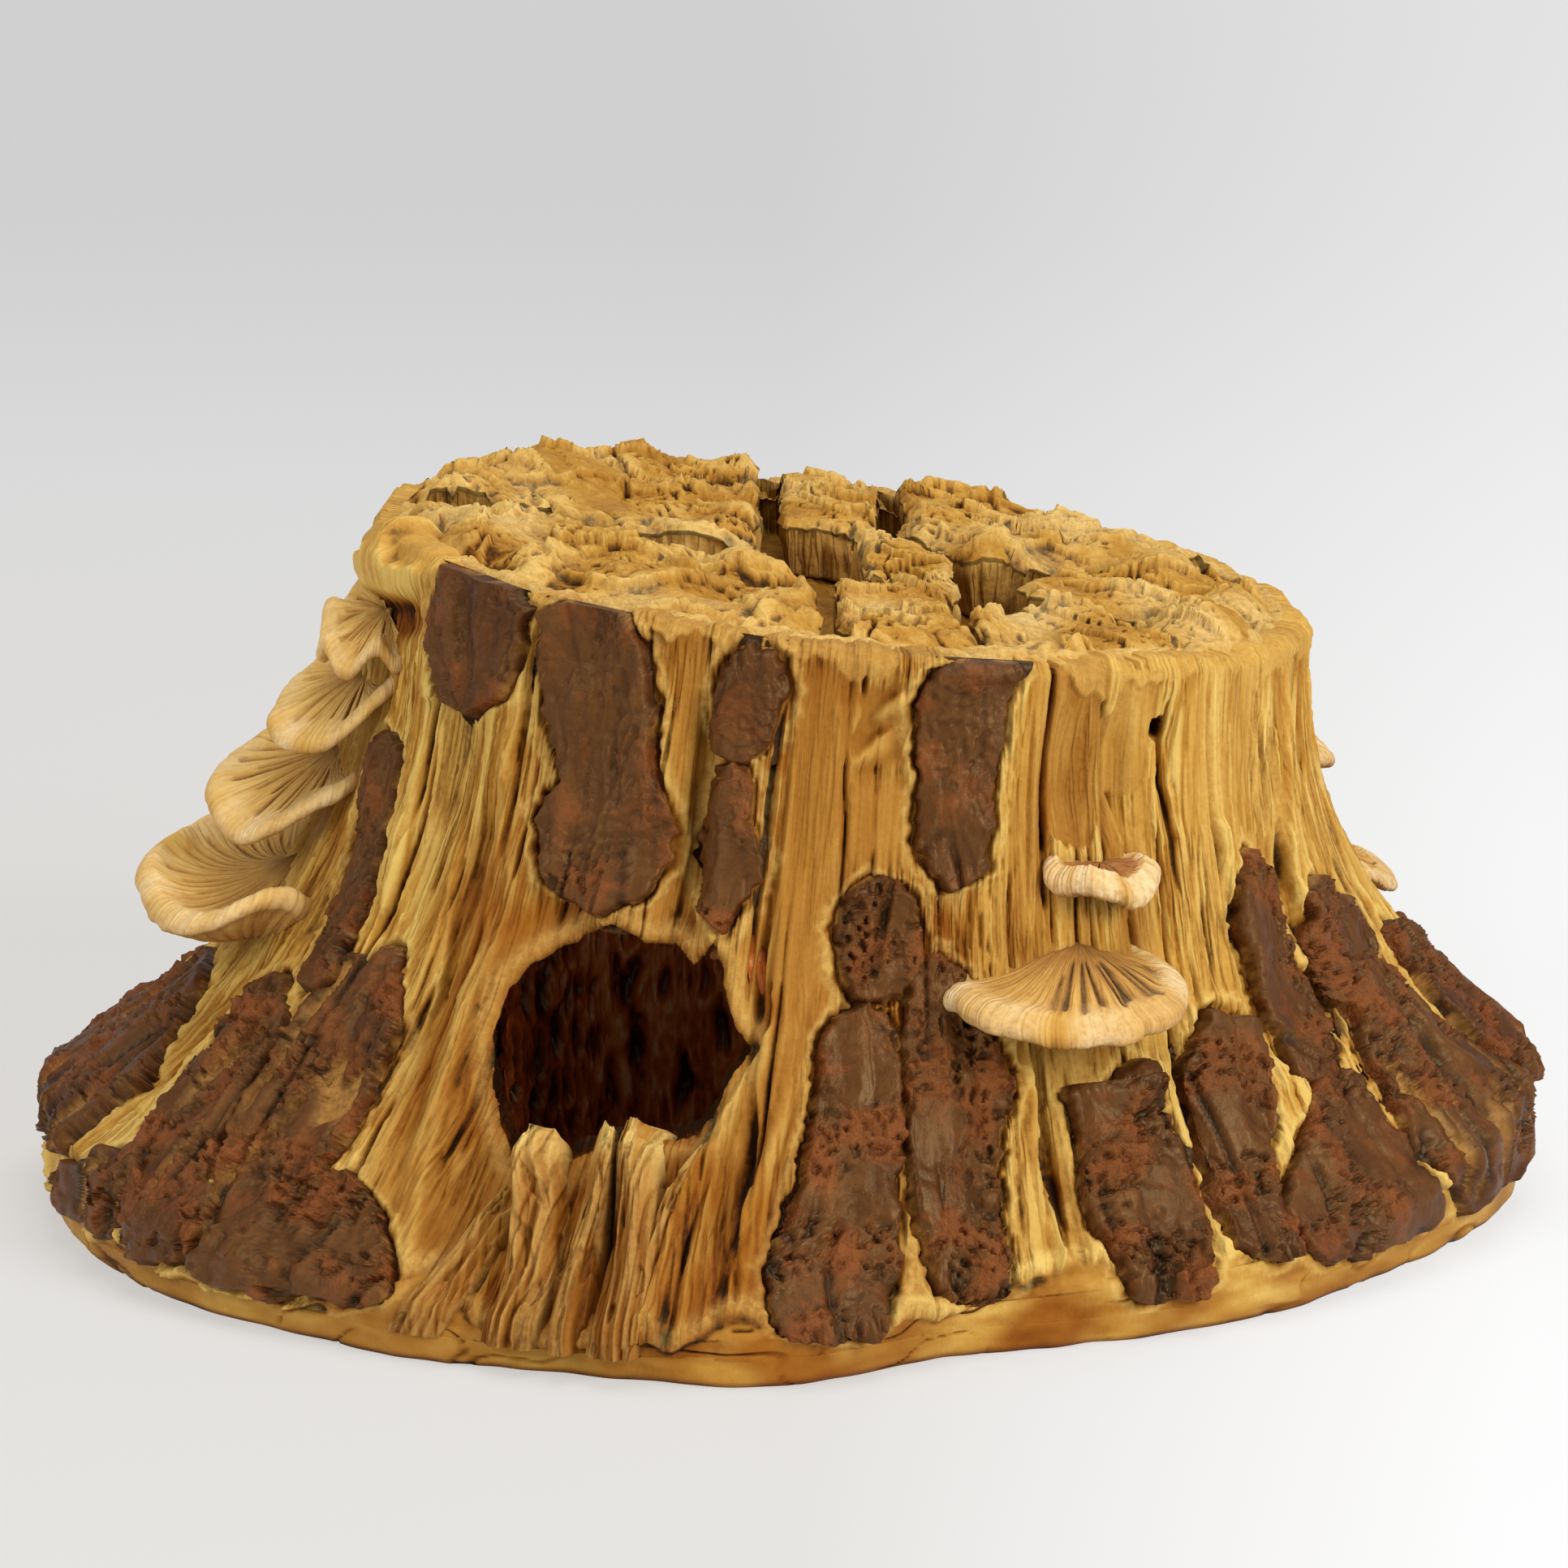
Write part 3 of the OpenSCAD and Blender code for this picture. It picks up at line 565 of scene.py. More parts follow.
barkStrips = {  # angle and height of the foot and head, then widths in mm at foot, middle and head
    "bark_back_right_low": (12, 14, 12, 47, 30, 26, 16),
    "bark_back_right_tall": (32, 12, 32, 74, 28, 22, 12),
    "bark_back_right_rim": (47, 70, 45, 117, 16, 22, 18),
    "bark_back_foot_right": (59, 8, 62, 56, 28, 24, 12),
    "bark_back_centre": (86, 8, 85, 72, 24, 26, 14),
    "bark_back_rim": (100, 76, 98, 126, 16, 21, 18),
    "bark_back_foot_left": (119, 8, 117, 56, 30, 24, 12),
    "bark_back_left_tall": (141, 12, 138, 66, 26, 22, 12),
    "bark_back_left_low": (160, 10, 157, 52, 30, 26, 14),
    "bark_back_left_rim": (150, 84, 148, 131, 17, 23, 20),
}


def slabRows(name, count):
    # heights up the slab with the angles of its two long edges
    if name in barkOutlines:
        loop = np.array(barkOutlines[name], float)
        heights = np.linspace(loop[:, 1].min() + 0.3, loop[:, 1].max() - 0.3, count)
        edges = []
        for z in heights:
            hits = []
            for (a0, z0), (a1, z1) in zip(loop, np.roll(loop, -1, 0)):
                if (z0 - z) * (z1 - z) <= 0 and z0 != z1:
                    hits.append(a0 + (a1 - a0) * (z - z0) / (z1 - z0))
            edges.append((min(hits), max(hits)))
        edges = np.array(edges)
        return heights, edges[:, 0], edges[:, 1]
    footA, footZ, headA, headZ, low, mid, top = barkStrips[name]
    t = np.linspace(0, 1, count)
    heights = footZ + (headZ - footZ) * t
    middle = footA + (headA - footA) * t
    width = np.where(t < 0.5, low + (mid - low) * 2 * t, mid + (top - mid) * (2 * t - 1))
    width = width * np.sqrt(clamp(0.25 + 3 * t)) * np.sqrt(clamp(0.1 + 4 * (1 - t)))
    half = np.degrees(width / 2 / wallRadius(middle, heights))
    return heights, middle - half, middle + half


slabEdges = {name: slabRows(name, 60) for name in list(barkOutlines) + list(barkStrips)}
barkReach = {  # how far past its plain outline a slab spreads, in mm
    "bark_left_strip": 4.8, "bark_left_wide": 3.8, "bark_left_ribbon": 1.8, "bark_far_left": 4.6,
    "bark_left_heel": 4.2, "bark_left_toe": 3.4, "bark_knotted": 2.0, "bark_right_root": 3.2,
    "bark_right_heel": 3.4, "bark_right_small": 3.4, "bark_right_upper": 2.6, "bark_right_foot": 2.4,
    "bark_right_strip": 1.6, "bark_front_foot_right": 1.8,
}
plainReach = 0.9  # the same for every other slab


def raggedEdge(noise, s):
    # the torn outline that a slab and the wood round it share
    return 1.3 * noise(10, s / 13, 209) + 1.0 * noise(4.5, s / 5, 210) + 0.75 * noise(1.9, s / 2.2, 211)


def roundedDepth(side, end, corner=6.0):
    # the lesser of two depths, with the corners between them rounded off
    least = np.minimum(side, end)
    rounded = corner - np.hypot(np.maximum(corner - side, 0), np.maximum(corner - end, 0))
    return np.where(least > corner, least, rounded)


def slabFoot(name, heights):
    # a slab ends above the plain band round the foot
    return max(heights[0], 6.5 + barkReach.get(name, plainReach))


def slabCover(a, z):
    # how far inside a slab a place on the wall is, in mm, negative outside
    inside = np.full(np.shape(a), -30.0)
    for name, (heights, left, right) in slabEdges.items():
        middle = (left.mean() + right.mean()) / 2
        near = (np.abs(turnBetween(a, middle)) < 20) & (z > heights[0] - 9) & (z < heights[-1] + 9)
        if not near.any():
            continue
        an = middle + turnBetween(a[near], middle)
        zn = z[near]
        fromEdge = np.minimum(an - np.interp(zn, heights, left), np.interp(zn, heights, right) - an)
        reach = barkReach.get(name, plainReach)
        side = np.radians(fromEdge) * wallRadius(an, zn) + reach
        end = np.minimum(zn - slabFoot(name, heights), heights[-1] - zn) + reach
        inside[near] = np.maximum(inside[near], roundedDepth(side, end))
    return inside


# the mouth's outline seen from the front, as x and height

mouthLoop = np.array([
    (-54.5, 43), (-54.5, 53), (-52, 60), (-48, 64), (-41, 68), (-36, 71.5), (-32, 73), (-28, 71), (-26, 70),
    (-21, 70), (-18, 66.5), (-14, 71), (-12.5, 67), (-11.5, 61.5), (-10, 57), (-7, 54), (-11, 48),
    (-14, 43), (-16.5, 40), (-19, 39), (-25, 38), (-33, 37), (-39, 34), (-43, 30), (-47, 29),
    (-51, 33)], float)


def mouthGap(x, z):
    # distance to the mouth's outline, negative inside it
    far = np.full(x.shape, 1e9)
    inside = np.zeros(x.shape, bool)
    for (x0, z0), (x1, z1) in zip(mouthLoop, np.roll(mouthLoop, -1, 0)):
        dx, dz = x1 - x0, z1 - z0
        t = clamp(((x - x0) * dx + (z - z0) * dz) / (dx * dx + dz * dz))
        far = np.minimum(far, np.hypot(x - x0 - t * dx, z - z0 - t * dz))
        crosses = (z0 > z) != (z1 > z)
        inside ^= crosses & (x < x0 + (z - z0) * dx / (dz if dz else 1e-9))
    return np.where(inside, -far, far)


# the wood's relief

strandSteps = {}


def strandLayer(a, z, width, seed):
    # upright strands of uneven width: their own level, the distance to their edge, and the place across
    count = int(round(360 / math.degrees(width / drum)))
    if (count, seed) not in strandSteps:
        own = np.random.default_rng(seed)
        strandSteps[(count, seed)] = (own.uniform(-0.36, 0.36, count), own.uniform(-1, 1, count))
    shifts, levels = strandSteps[(count, seed)]
    noise = ringNoise(a)
    drift = 1.8 * noise(30, z / 80, seed) + 0.35 * noise(8, z / 30, seed + 1)
    c = (a % 360) / 360 * count + drift / width
    k = np.floor(c).astype(int)
    border = lambda i: i + shifts[i % count]
    low, high = border(k), border(k + 1)
    below, above = c < low, c >= high
    high = np.where(below, low, high)
    low = np.where(below, border(k - 1), low)
    low = np.where(above, border(k + 1), low)
    high = np.where(above, border(k + 2), high)
    cell = np.where(below, k - 1, np.where(above, k + 1, k)) % count
    edge = np.minimum(c - low, high - c) * width
    across = (c - (low + high) / 2) / np.maximum((high - low) / 2, 0.1)
    return levels[cell], edge, across


cracks = {
    "count": 260, "seed": 17,
    "heights": (14, 126), "half": (5, 28), "width": (0.22, 0.55), "depth": (0.8, 2.4),
}
crackDice = np.random.default_rng(cracks["seed"])


def drawCrack():
    # angle, height of the middle, half length, width and depth
    angle, middle = crackDice.uniform(0, 360), crackDice.uniform(*cracks["heights"])
    sizes = [(cracks["half"], 2), (cracks["width"], 1.5), (cracks["depth"], 1)]
    drawn = [least + (most - least) * crackDice.uniform() ** power for (least, most), power in sizes]
    return angle, middle, *drawn


crackTable = [drawCrack() for k in range(cracks["count"])]
crackTable += [  # the long ones beside the mouth, in the right recess and over the front
    (262.3, 92, 34, 0.5, 2.6), (263.6, 78, 40, 0.6, 3.0), (265.6, 58, 26, 0.5, 2.2),
    (264.5, 40, 30, 0.6, 2.6), (298.6, 98, 24, 0.9, 3.0), (306.8, 96, 22, 1.0, 3.2),
    (309.2, 104, 14, 0.5, 2.2), (316.2, 92, 18, 0.45, 2.4), (252.0, 92, 18, 0.6, 2.5),
    (228.6, 104, 22, 0.6, 2.4), (271.8, 92, 20, 0.4, 1.8), (322.5, 96, 26, 0.5, 2.0),
    (293.5, 64, 18, 0.5, 1.8), (296.0, 36, 20, 0.8, 2.8), (313.0, 34, 18, 0.8, 2.6),
    (336.6, 60, 22, 0.8, 2.6),
]

# Blades that run down the wall: height, angle, half width on the left and right in mm, lift
blades = [
    [(60, 266.0, 1.2, 6, 1.0), (54, 264.6, 1.2, 7, 2.5), (43, 261.6, 1.4, 9, 5.0), (33, 259.6, 1.4, 10, 6.0),
     (24, 258.6, 1.6, 9, 5.5), (14, 257.7, 1.8, 8, 4.5), (4, 256.6, 2.0, 7, 2.5)],
    [(34, 262.0, 1.2, 5, 0.6), (26, 261.2, 1.2, 5, 2.4), (16, 260.6, 1.4, 5, 2.8), (4, 260.2, 1.6, 5, 1.6)],
    [(66, 268.4, 2, 4, 0.8), (48, 267.4, 1.6, 5, 1.8), (28, 265.2, 1.6, 5, 2.6), (6, 264.2, 1.6, 5, 1.8)],
    [(118, 263.2, 1.5, 4, 0.4), (96, 263.6, 1.5, 4, 1.2), (70, 263.8, 1.5, 4, 1.4)],
    [(70, 232.0, 5, 1.2, 1.0), (58, 230.6, 6, 1.6, 2.4), (44, 231.6, 6, 2.0, 2.6), (30, 233.0, 6, 2.2, 2.0),
     (12, 236.0, 5, 2.4, 1.5)],
    [(84, 222.0, 4, 1.2, 0.8), (60, 224.6, 5, 1.4, 2.0), (44, 226.0, 5, 1.6, 1.6)],
    [(96, 213.0, 4, 1.4, 0.8), (76, 214.0, 4, 1.4, 1.8), (62, 214.6, 4, 1.4, 1.4)],
    [(60, 293.4, 1.4, 4, 0.8), (40, 294.6, 1.4, 4, 2.0), (14, 295.0, 1.4, 4, 1.8)],
    [(112, 322.6, 1.4, 5, 0.8), (84, 323.4, 1.4, 5, 1.6), (60, 325.2, 1.4, 4, 1.6)],
    [(104, 342.0, 1.4, 5, 0.8), (80, 338.0, 1.4, 5, 1.8), (56, 335.4, 1.4, 5, 1.4)],
]
flakes = [  # size across, length, seed, where a step begins, its height
    (7.5, 58, 8, 0.16, 0.34), (4.5, 40, 14, 0.22, 0.3), (11, 80, 15, 0.1, 0.4)]


def cutCracks(lift, a, z):
    for angle, middle, half, wide, deep in crackTable:
        near = (np.abs(turnBetween(a, angle)) < 4) & (np.abs(z - middle) < half)
        if not near.any():
            continue
        zn = z[near]
        sway = 0.5 * np.sin(zn / 12 + angle) + 0.12 * np.sin(zn / 3.1 + middle)
        off = np.abs(np.radians(turnBetween(a[near], angle)) * drum - sway)
        taper = np.sqrt(clamp(1 - ((zn - middle) / half) ** 2))
        lift[near] -= deep * taper * peak(off, wide * (0.4 + taper))


def raiseBlades(lift, a, z):
    # steep on one side, long on the other
    for line in blades:
        heights, *columns = np.array(line[::-1], float).T
        angle, left, right, rise = (np.interp(z, heights, c) for c in columns)
        near = (np.abs(turnBetween(a, angle)) < 9) & (z > heights[0] - 6) & (z < heights[-1] + 4)
        if not near.any():
            continue
        off = np.radians(turnBetween(a[near], angle[near])) * wallRadius(a[near], z[near])
        shape = np.where(off < 0, clamp(1 + off / left[near]), clamp(1 - off / right[near]) ** 1.4)
        ends = clamp((z[near] - heights[0] + 6) / 6) * clamp((heights[-1] + 4 - z[near]) / 8)
        lift[near] += rise[near] * smooth(shape) * ends


def woodLift(a, place):
    # how far the torn wood stands out, with the level of its planks and its crumbs
    z = place[..., 2]
    noise = ringNoise(a)
    s = downSlope(a, z)
    lift = np.zeros(np.shape(a))
    plank = np.zeros(np.shape(a))
    # flat planks with sharp steps, in two sets which take turns
    turn = smooth(0.5 + 2.4 * noise(34, s / 40, 5))
    for share, seed in ((1 - turn, 11), (turn, 12)):
        level, edge, across = strandLayer(a, s, 13.0, seed)
        torn = smooth((noise(12, s / 30, seed + 5) - 0.02) / 0.12)
        plank = plank + share * level
        lift += share * (0.45 * level + 0.3 * across * np.sign(level))
        lift -= share * torn * 1.3 * peak(edge, 0.3)
    # narrow slats
    level, edge, across = strandLayer(a, s, 4.2, 21)
    rough = smooth(0.5 + 1.4 * noise(20, s / 44, 6))
    torn = smooth((noise(6, s / 20, 22) - 0.08) / 0.1)
    plank = plank + 0.5 * level
    slat = 0.15 * level + 0.08 * across * np.sign(level) - 0.65 * torn * peak(edge, 0.2)
    lift += (0.3 + 0.7 * rough) * slat
    # combed lines
    level, edge, _ = strandLayer(a, s, 1.15, 31)
    comb = smooth((noise(9, s / 24, 32) + 0.2) / 0.3)
    lift += (0.25 + 0.75 * rough) * comb * (0.07 * level - 0.13 * peak(edge, 0.2))
    # torn flakes: low steps with ragged ends
    ragged = 0.32 * noise(1.1, s / 13, 9) + 0.1 * noise(0.8, s / 2.2, 10)
    flake = np.zeros(np.shape(a))
    for size, long, seed, at, amount in flakes:
        step = noise(size, s / long, seed) + ragged
        flake += amount * (smooth((step - at) / 0.05) - 0.8 * smooth((-step - at - 0.14) / 0.05))
    lift += flake * (0.55 + 0.45 * rough)
    crumb = roughNoise(place, 4.5, 3, 13)
    lift += 0.14 * crumb
    cutCracks(lift, a, z)
    raiseBlades(lift, a, z)
    return lift, plank, crumb, s


knotFolds = [  # angle, height, tilt, half length, width and rise of the crumpled folds
    (277.2, 113.0, 0.6, 6.4, 4.2, 2.2), (274.3, 104.5, 0.55, 6.8, 4.4, 2.0),
    (279.4, 106.4, 1.2, 4.2, 2.6, 1.5), (272.0, 110.5, 1.4, 3.8, 2.4, 1.3), (276.0, 99.6, 0.3, 5.0, 2.6, 1.1),
]
recess = {  # the hollow at the right: two flat panels with a hanging drip between them
    "first": (298.8, 306.0), "second": (308.3, 314.6), "drip": (307.1, 109.5),
    "clefts": [(298.7, 0.45, 2.4, 84, 121), (306.1, 0.45, 2.2, 84, 121), (308.2, 0.4, 1.6, 88, 117)],
}
pressed = [  # smooth panels: angle, half width, lowest and highest height, how flat
    (322, 4.5, 84, 118, 0.55), (244.5, 2.6, 84, 124, 0.6), (277, 5.5, 82, 101, 0.8),
    (267.5, 4.6, 62, 122, 0.72), (287, 4, 122, 126, 0.5), (251.5, 2.5, 74, 120, 0.6),
    (235, 4.5, 60, 75, 0.7), (296.5, 2.2, 70, 120, 0.5)]
spots = {  # angle, height
    "hole": (315.2, 104.5), "knot": (275.6, 108.5), "lobe": (198, 131), "notch": (200, 121)}


def recessPanels(a, z, lift, ragged):
    left, right = recess["first"]
    panel = np.minimum(arcFrom(a, left), -arcFrom(a, right))
    panel = np.minimum(panel, (z - 86) * 0.8 + 3 * ringNoise(a)(1.6, z / 20, 52))
    panel = np.minimum(panel, 119 - z)
    left, right = recess["second"]
    second = np.minimum(arcFrom(a, left), -arcFrom(a, right - 0.16 * np.maximum(104 - z, 0)) + 0.6 * ragged)
    second = np.minimum(second, np.minimum((z - 93) * 0.8 + 2 * ragged, 116 - z))
    inFirst = smooth(panel / 0.5)
    inSecond = smooth(second / 0.5)
    calm = np.maximum(inFirst, inSecond)
    lift = lift * (1 - 0.88 * calm) - 0.7 * inFirst - 0.5 * inSecond
    for angle, half, deep, low, high in recess["clefts"]:
        lift = lift - deep * peak(arcFrom(a, angle) + 0.15 * np.sin(z / 8), half) * fade(z, low, high, 4)
    angle, height = recess["drip"]
    drip = np.hypot(arcFrom(a, angle) / 1.25, np.minimum(z - height, 0) / 2.2)
    lift = lift + 1.8 * smooth((1.15 - drip) / 0.5) * smooth((121 - z) / 3)
    return lift, inFirst * 0.55 + inSecond * 0.3, 1 - 0.35 * calm


def crumpledKnot(a, z, lift, combed, ragged):
    angle, height = spots["knot"]
    knot = 1 - np.hypot(arcFrom(a, angle) / 9.5, (z - height) / 9.0)
    knot = smooth((knot + 0.15 * ragged) * 2.6)
    folds = np.zeros(np.shape(a))
    for angle, height, tilt, long, wide, rise in knotFolds:
        across, up = arcFrom(a, angle), z - height
        along = across * math.cos(tilt) + up * math.sin(tilt) + 0.4 * ragged
        aside = up * math.cos(tilt) - across * math.sin(tilt) + 0.5 * ragged
        leaf = np.where(aside > 0, clamp(1 - aside / (wide * 0.3)), clamp(1 + aside / wide))
        folds = np.maximum(folds, rise * smooth(clamp(1 - (along / long) ** 2) * leaf * 1.3))
    return lift * (1 - 0.85 * knot) + knot * (folds - 0.5), combed * (1 - 0.9 * knot)


def spotFeatures(a, z, lift):
    # the recess, the knot, a small hole, the smooth panels and the soft lobe over the rim at the top left
    ragged = 0.7 * ringNoise(a)(2.5, z / 5, 51)
    lift, glazeAndShade, combed = recessPanels(a, z, lift, ragged)
    angle, height = spots["hole"]
    hole = np.hypot(arcFrom(a, angle), (z - height) * 0.7)
    lift = lift - 3.5 * smooth((1.9 - hole + 0.5 * ragged) / 0.8)
    lift, combed = crumpledKnot(a, z, lift, combed, ragged)
    for angle, half, low, high, amount in pressed:
        soft = smooth((1 - np.abs(turnBetween(a, angle)) / half) * 3) * fade(z + 3 * ragged, low, high, 4)
        lift = lift * (1 - amount * soft)
        combed = combed * (1 - 0.55 * soft)
    angle, height = spots["lobe"]
    lobe = np.hypot(turnBetween(a, angle) / 11, (z - height) / 9)
    lobeIn = smooth((1.15 - lobe) * 2.2)
    lift = lift * (1 - 0.75 * lobeIn) + 5.0 * lobeIn * np.sqrt(clamp(1.15 - lobe))
    angle, height = spots["notch"]
    notch = np.hypot(turnBetween(a, angle) / 9, (z - height) / 4.5)
    return lift - 1.2 * smooth((1.1 - notch) * 2), glazeAndShade, combed * (1 - 0.6 * lobeIn)


def rimBand(a, z, lift):
    # pale rolled band along the rim
    noise = ringNoise(a)
    reach = 4.5 + 5.5 * noise(10, 0.3, 61) + 2.2 * noise(3, 0.3, 62)
    band = smooth((reach - (rimZ(a) - z)) / 0.9)
    roll = 0.35 * band * (0.6 + 2.4 * noise(9, 1.3, 63) + 1.0 * noise(3.2, z / 5, 65))
    keep = 0.3 + 0.4 * clamp(0.5 + noise(17, 2.3, 64))
    return lift * (1 - band) + (lift * keep + roll) * band, band


def footBand(a, z):
    # the smooth ochre band round the foot, which the wall and the base plate share
    noise = ringNoise(a)
    swollen = peak(turnBetween(a, 237), 6.5) + 0.6 * peak(turnBetween(a, 266), 4)
    dents = smooth((0.05 - np.abs(noise(12, z / 7, 345))) / 0.04)
    dents = dents * smooth(0.4 + 2 * noise(16, 0.3, 346))
    calm = 0.9 * noise(24, z / 14, 74) + 0.8 * noise(7, z / 5, 76) - 0.9
    calm = calm + 2.2 * swollen - 0.7 * dents
    smears = noise(10, z / 3, 341) + 0.5 * noise(3, z / 1.5, 342)
    stain = 0.5 + 0.45 * smooth((a % 360 - 250) / 20) * smooth((335 - a % 360) / 20)  # browner in front
    stain = stain * smooth(0.7 + noise(14, z / 8, 344))
    return calm, smears, dents, swollen, stain


# the stump's wall, in six pieces

cave = {
    "x": -21.9, "y": -57.0, "radius": 34.0, "spring": 62.0, "top": 82.0, "openFrom": 199.0, "openTo": 296.0,
}
tear = {  # the mouth's torn edge, as seen from the front
    "middle": (-31, 54), "x": (-60, 0), "z": (25, 80), "rings": (0.06, 0.2, 0.45, 0.72, 1.0),
}
lipHeights = [15, 14, 12, 11, 11, 12, 9, 6, 6, 9, 12, 15]  # top of the smooth foot band, every 30 degrees
mouthWall = "stump_wall_mouth"
wallSpecs = [  # name, from, to, columns, rows on the foot, wall and rim
    ("stump_wall_left", 180, 228, 330, 20, 220, 20),
    (mouthWall, 228, 270, 340, 20, 240, 20),
    ("stump_wall_front", 270, 315, 340, 20, 220, 20),
    ("stump_wall_right", 315, 360, 310, 20, 220, 20),
    ("stump_wall_back_right", 0, 90, 360, 16, 76, 12),
    ("stump_wall_back_left", 90, 180, 360, 16, 76, 12),
]


def deleteGone(piece, gone):
    # the mouth's places are deleted, and the places round the new hole come back as a mask
    mesh = piece.data
    selectOnly(piece)
    bpy.ops.object.mode_set(mode="EDIT")
    bpy.ops.mesh.select_mode(type="VERT")
    bpy.ops.mesh.select_all(action="DESELECT")
    bpy.ops.object.mode_set(mode="OBJECT")
    mesh.vertices.foreach_set("select", gone.ravel())
    bpy.ops.object.mode_set(mode="EDIT")
    bpy.ops.mesh.delete(type="VERT")
    bpy.ops.mesh.select_all(action="DESELECT")
    bpy.ops.mesh.select_non_manifold(extend=False)
    bpy.ops.object.mode_set(mode="OBJECT")
    chosen = np.empty(len(mesh.vertices), bool)
    mesh.vertices.foreach_get("select", chosen)
    return chosen


def cutMouth(piece, place, gap):
    # the mouth is torn out of the front wall and its edge turned in towards the cave
    mesh = piece.data
    rows, columns = gap.shape
    gone = gap < 0
    padded = np.pad(gone, 1)
    beside = np.zeros_like(gone)
    for i in range(3):
        for j in range(3):
            beside |= padded[i:i + rows, j:j + columns]
    # places just outside the outline are drawn onto it
    x, z, step = place[..., 0], place[..., 2], 0.3
    pull = np.where(beside & ~gone, np.clip(gap, 0, 1.1), 0)
    moved = place.copy()
    moved[..., 0] -= (mouthGap(x + step, z) - mouthGap(x - step, z)) / (2 * step) * pull
    moved[..., 2] -= (mouthGap(x, z + step) - mouthGap(x, z - step)) / (2 * step) * pull
    writePlaces(mesh, moved)
    mesh.update()
    chosen = deleteGone(piece, gone)
    at = readPlaces(mesh)
    chosen &= np.abs(mouthGap(at[:, 0], at[:, 2])) < 4
    for axis, side in ((0, "x"), (2, "z")):
        chosen &= (at[:, axis] > tear[side][0]) & (at[:, axis] < tear[side][1])
    mesh.edges.foreach_set("select", np.zeros(len(mesh.edges), bool))
    mesh.polygons.foreach_set("select", np.zeros(len(mesh.polygons), bool))
    mesh.vertices.foreach_set("select", chosen)
    starts = None
    for share in tear["rings"]:
        before = len(mesh.vertices)
        bpy.ops.object.mode_set(mode="EDIT")
        bpy.ops.mesh.select_mode(type="VERT")
        bpy.ops.mesh.extrude_edges_move(TRANSFORM_OT_translate={"value": (0, 0, 0)})
        bpy.ops.object.mode_set(mode="OBJECT")
        total = len(mesh.vertices)
        fresh = np.arange(before, total)
        at = readPlaces(mesh)
        if starts is None:
            starts = at[fresh].copy()
        dx = np.clip(starts[:, 0] - cave["x"], -cave["radius"] + 0.5, cave["radius"] - 0.5)
        reach = cave["y"] - np.sqrt(cave["radius"] ** 2 - dx ** 2) + 1.0
        reach = np.maximum(reach, starts[:, 1] + 8)
        wander = roughNoise(np.stack([starts[:, 0], starts[:, 1] + share * 18, starts[:, 2]], -1), 5, 2, 91)
        out = unit(np.stack([starts[:, 0] - tear["middle"][0], 0 * dx, starts[:, 2] - tear["middle"][1]], -1))
        wider = 0.25 * math.sin(share * math.pi) * 6 + 0.8 * wander * min(1, share * 3)
        at[fresh, 0] = starts[:, 0] + out[:, 0] * wider
        at[fresh, 1] = starts[:, 1] + (reach - starts[:, 1]) * share
        at[fresh, 2] = starts[:, 2] + out[:, 2] * wider
        writePlaces(mesh, at)
        paint = mesh.attributes["paint"]
        colours = np.empty(total * 4, np.float32)
        paint.data.foreach_get("color", colours)
        colours = colours.reshape(-1, 4)
        # the turned-in edge gets painted shade: darker and more glazed the deeper it goes towards the cave
        colours[fresh, 0] = clamp(0.5 - 0.75 * share + 0.12 * wander)
        colours[fresh, 1] = clamp(0.7 + share)
        colours[fresh, 2] = 0.2
        colours[fresh, 3] = 0.0
        paint.data.foreach_set("color", colours.ravel())
        mesh.update()
    deselectAll()


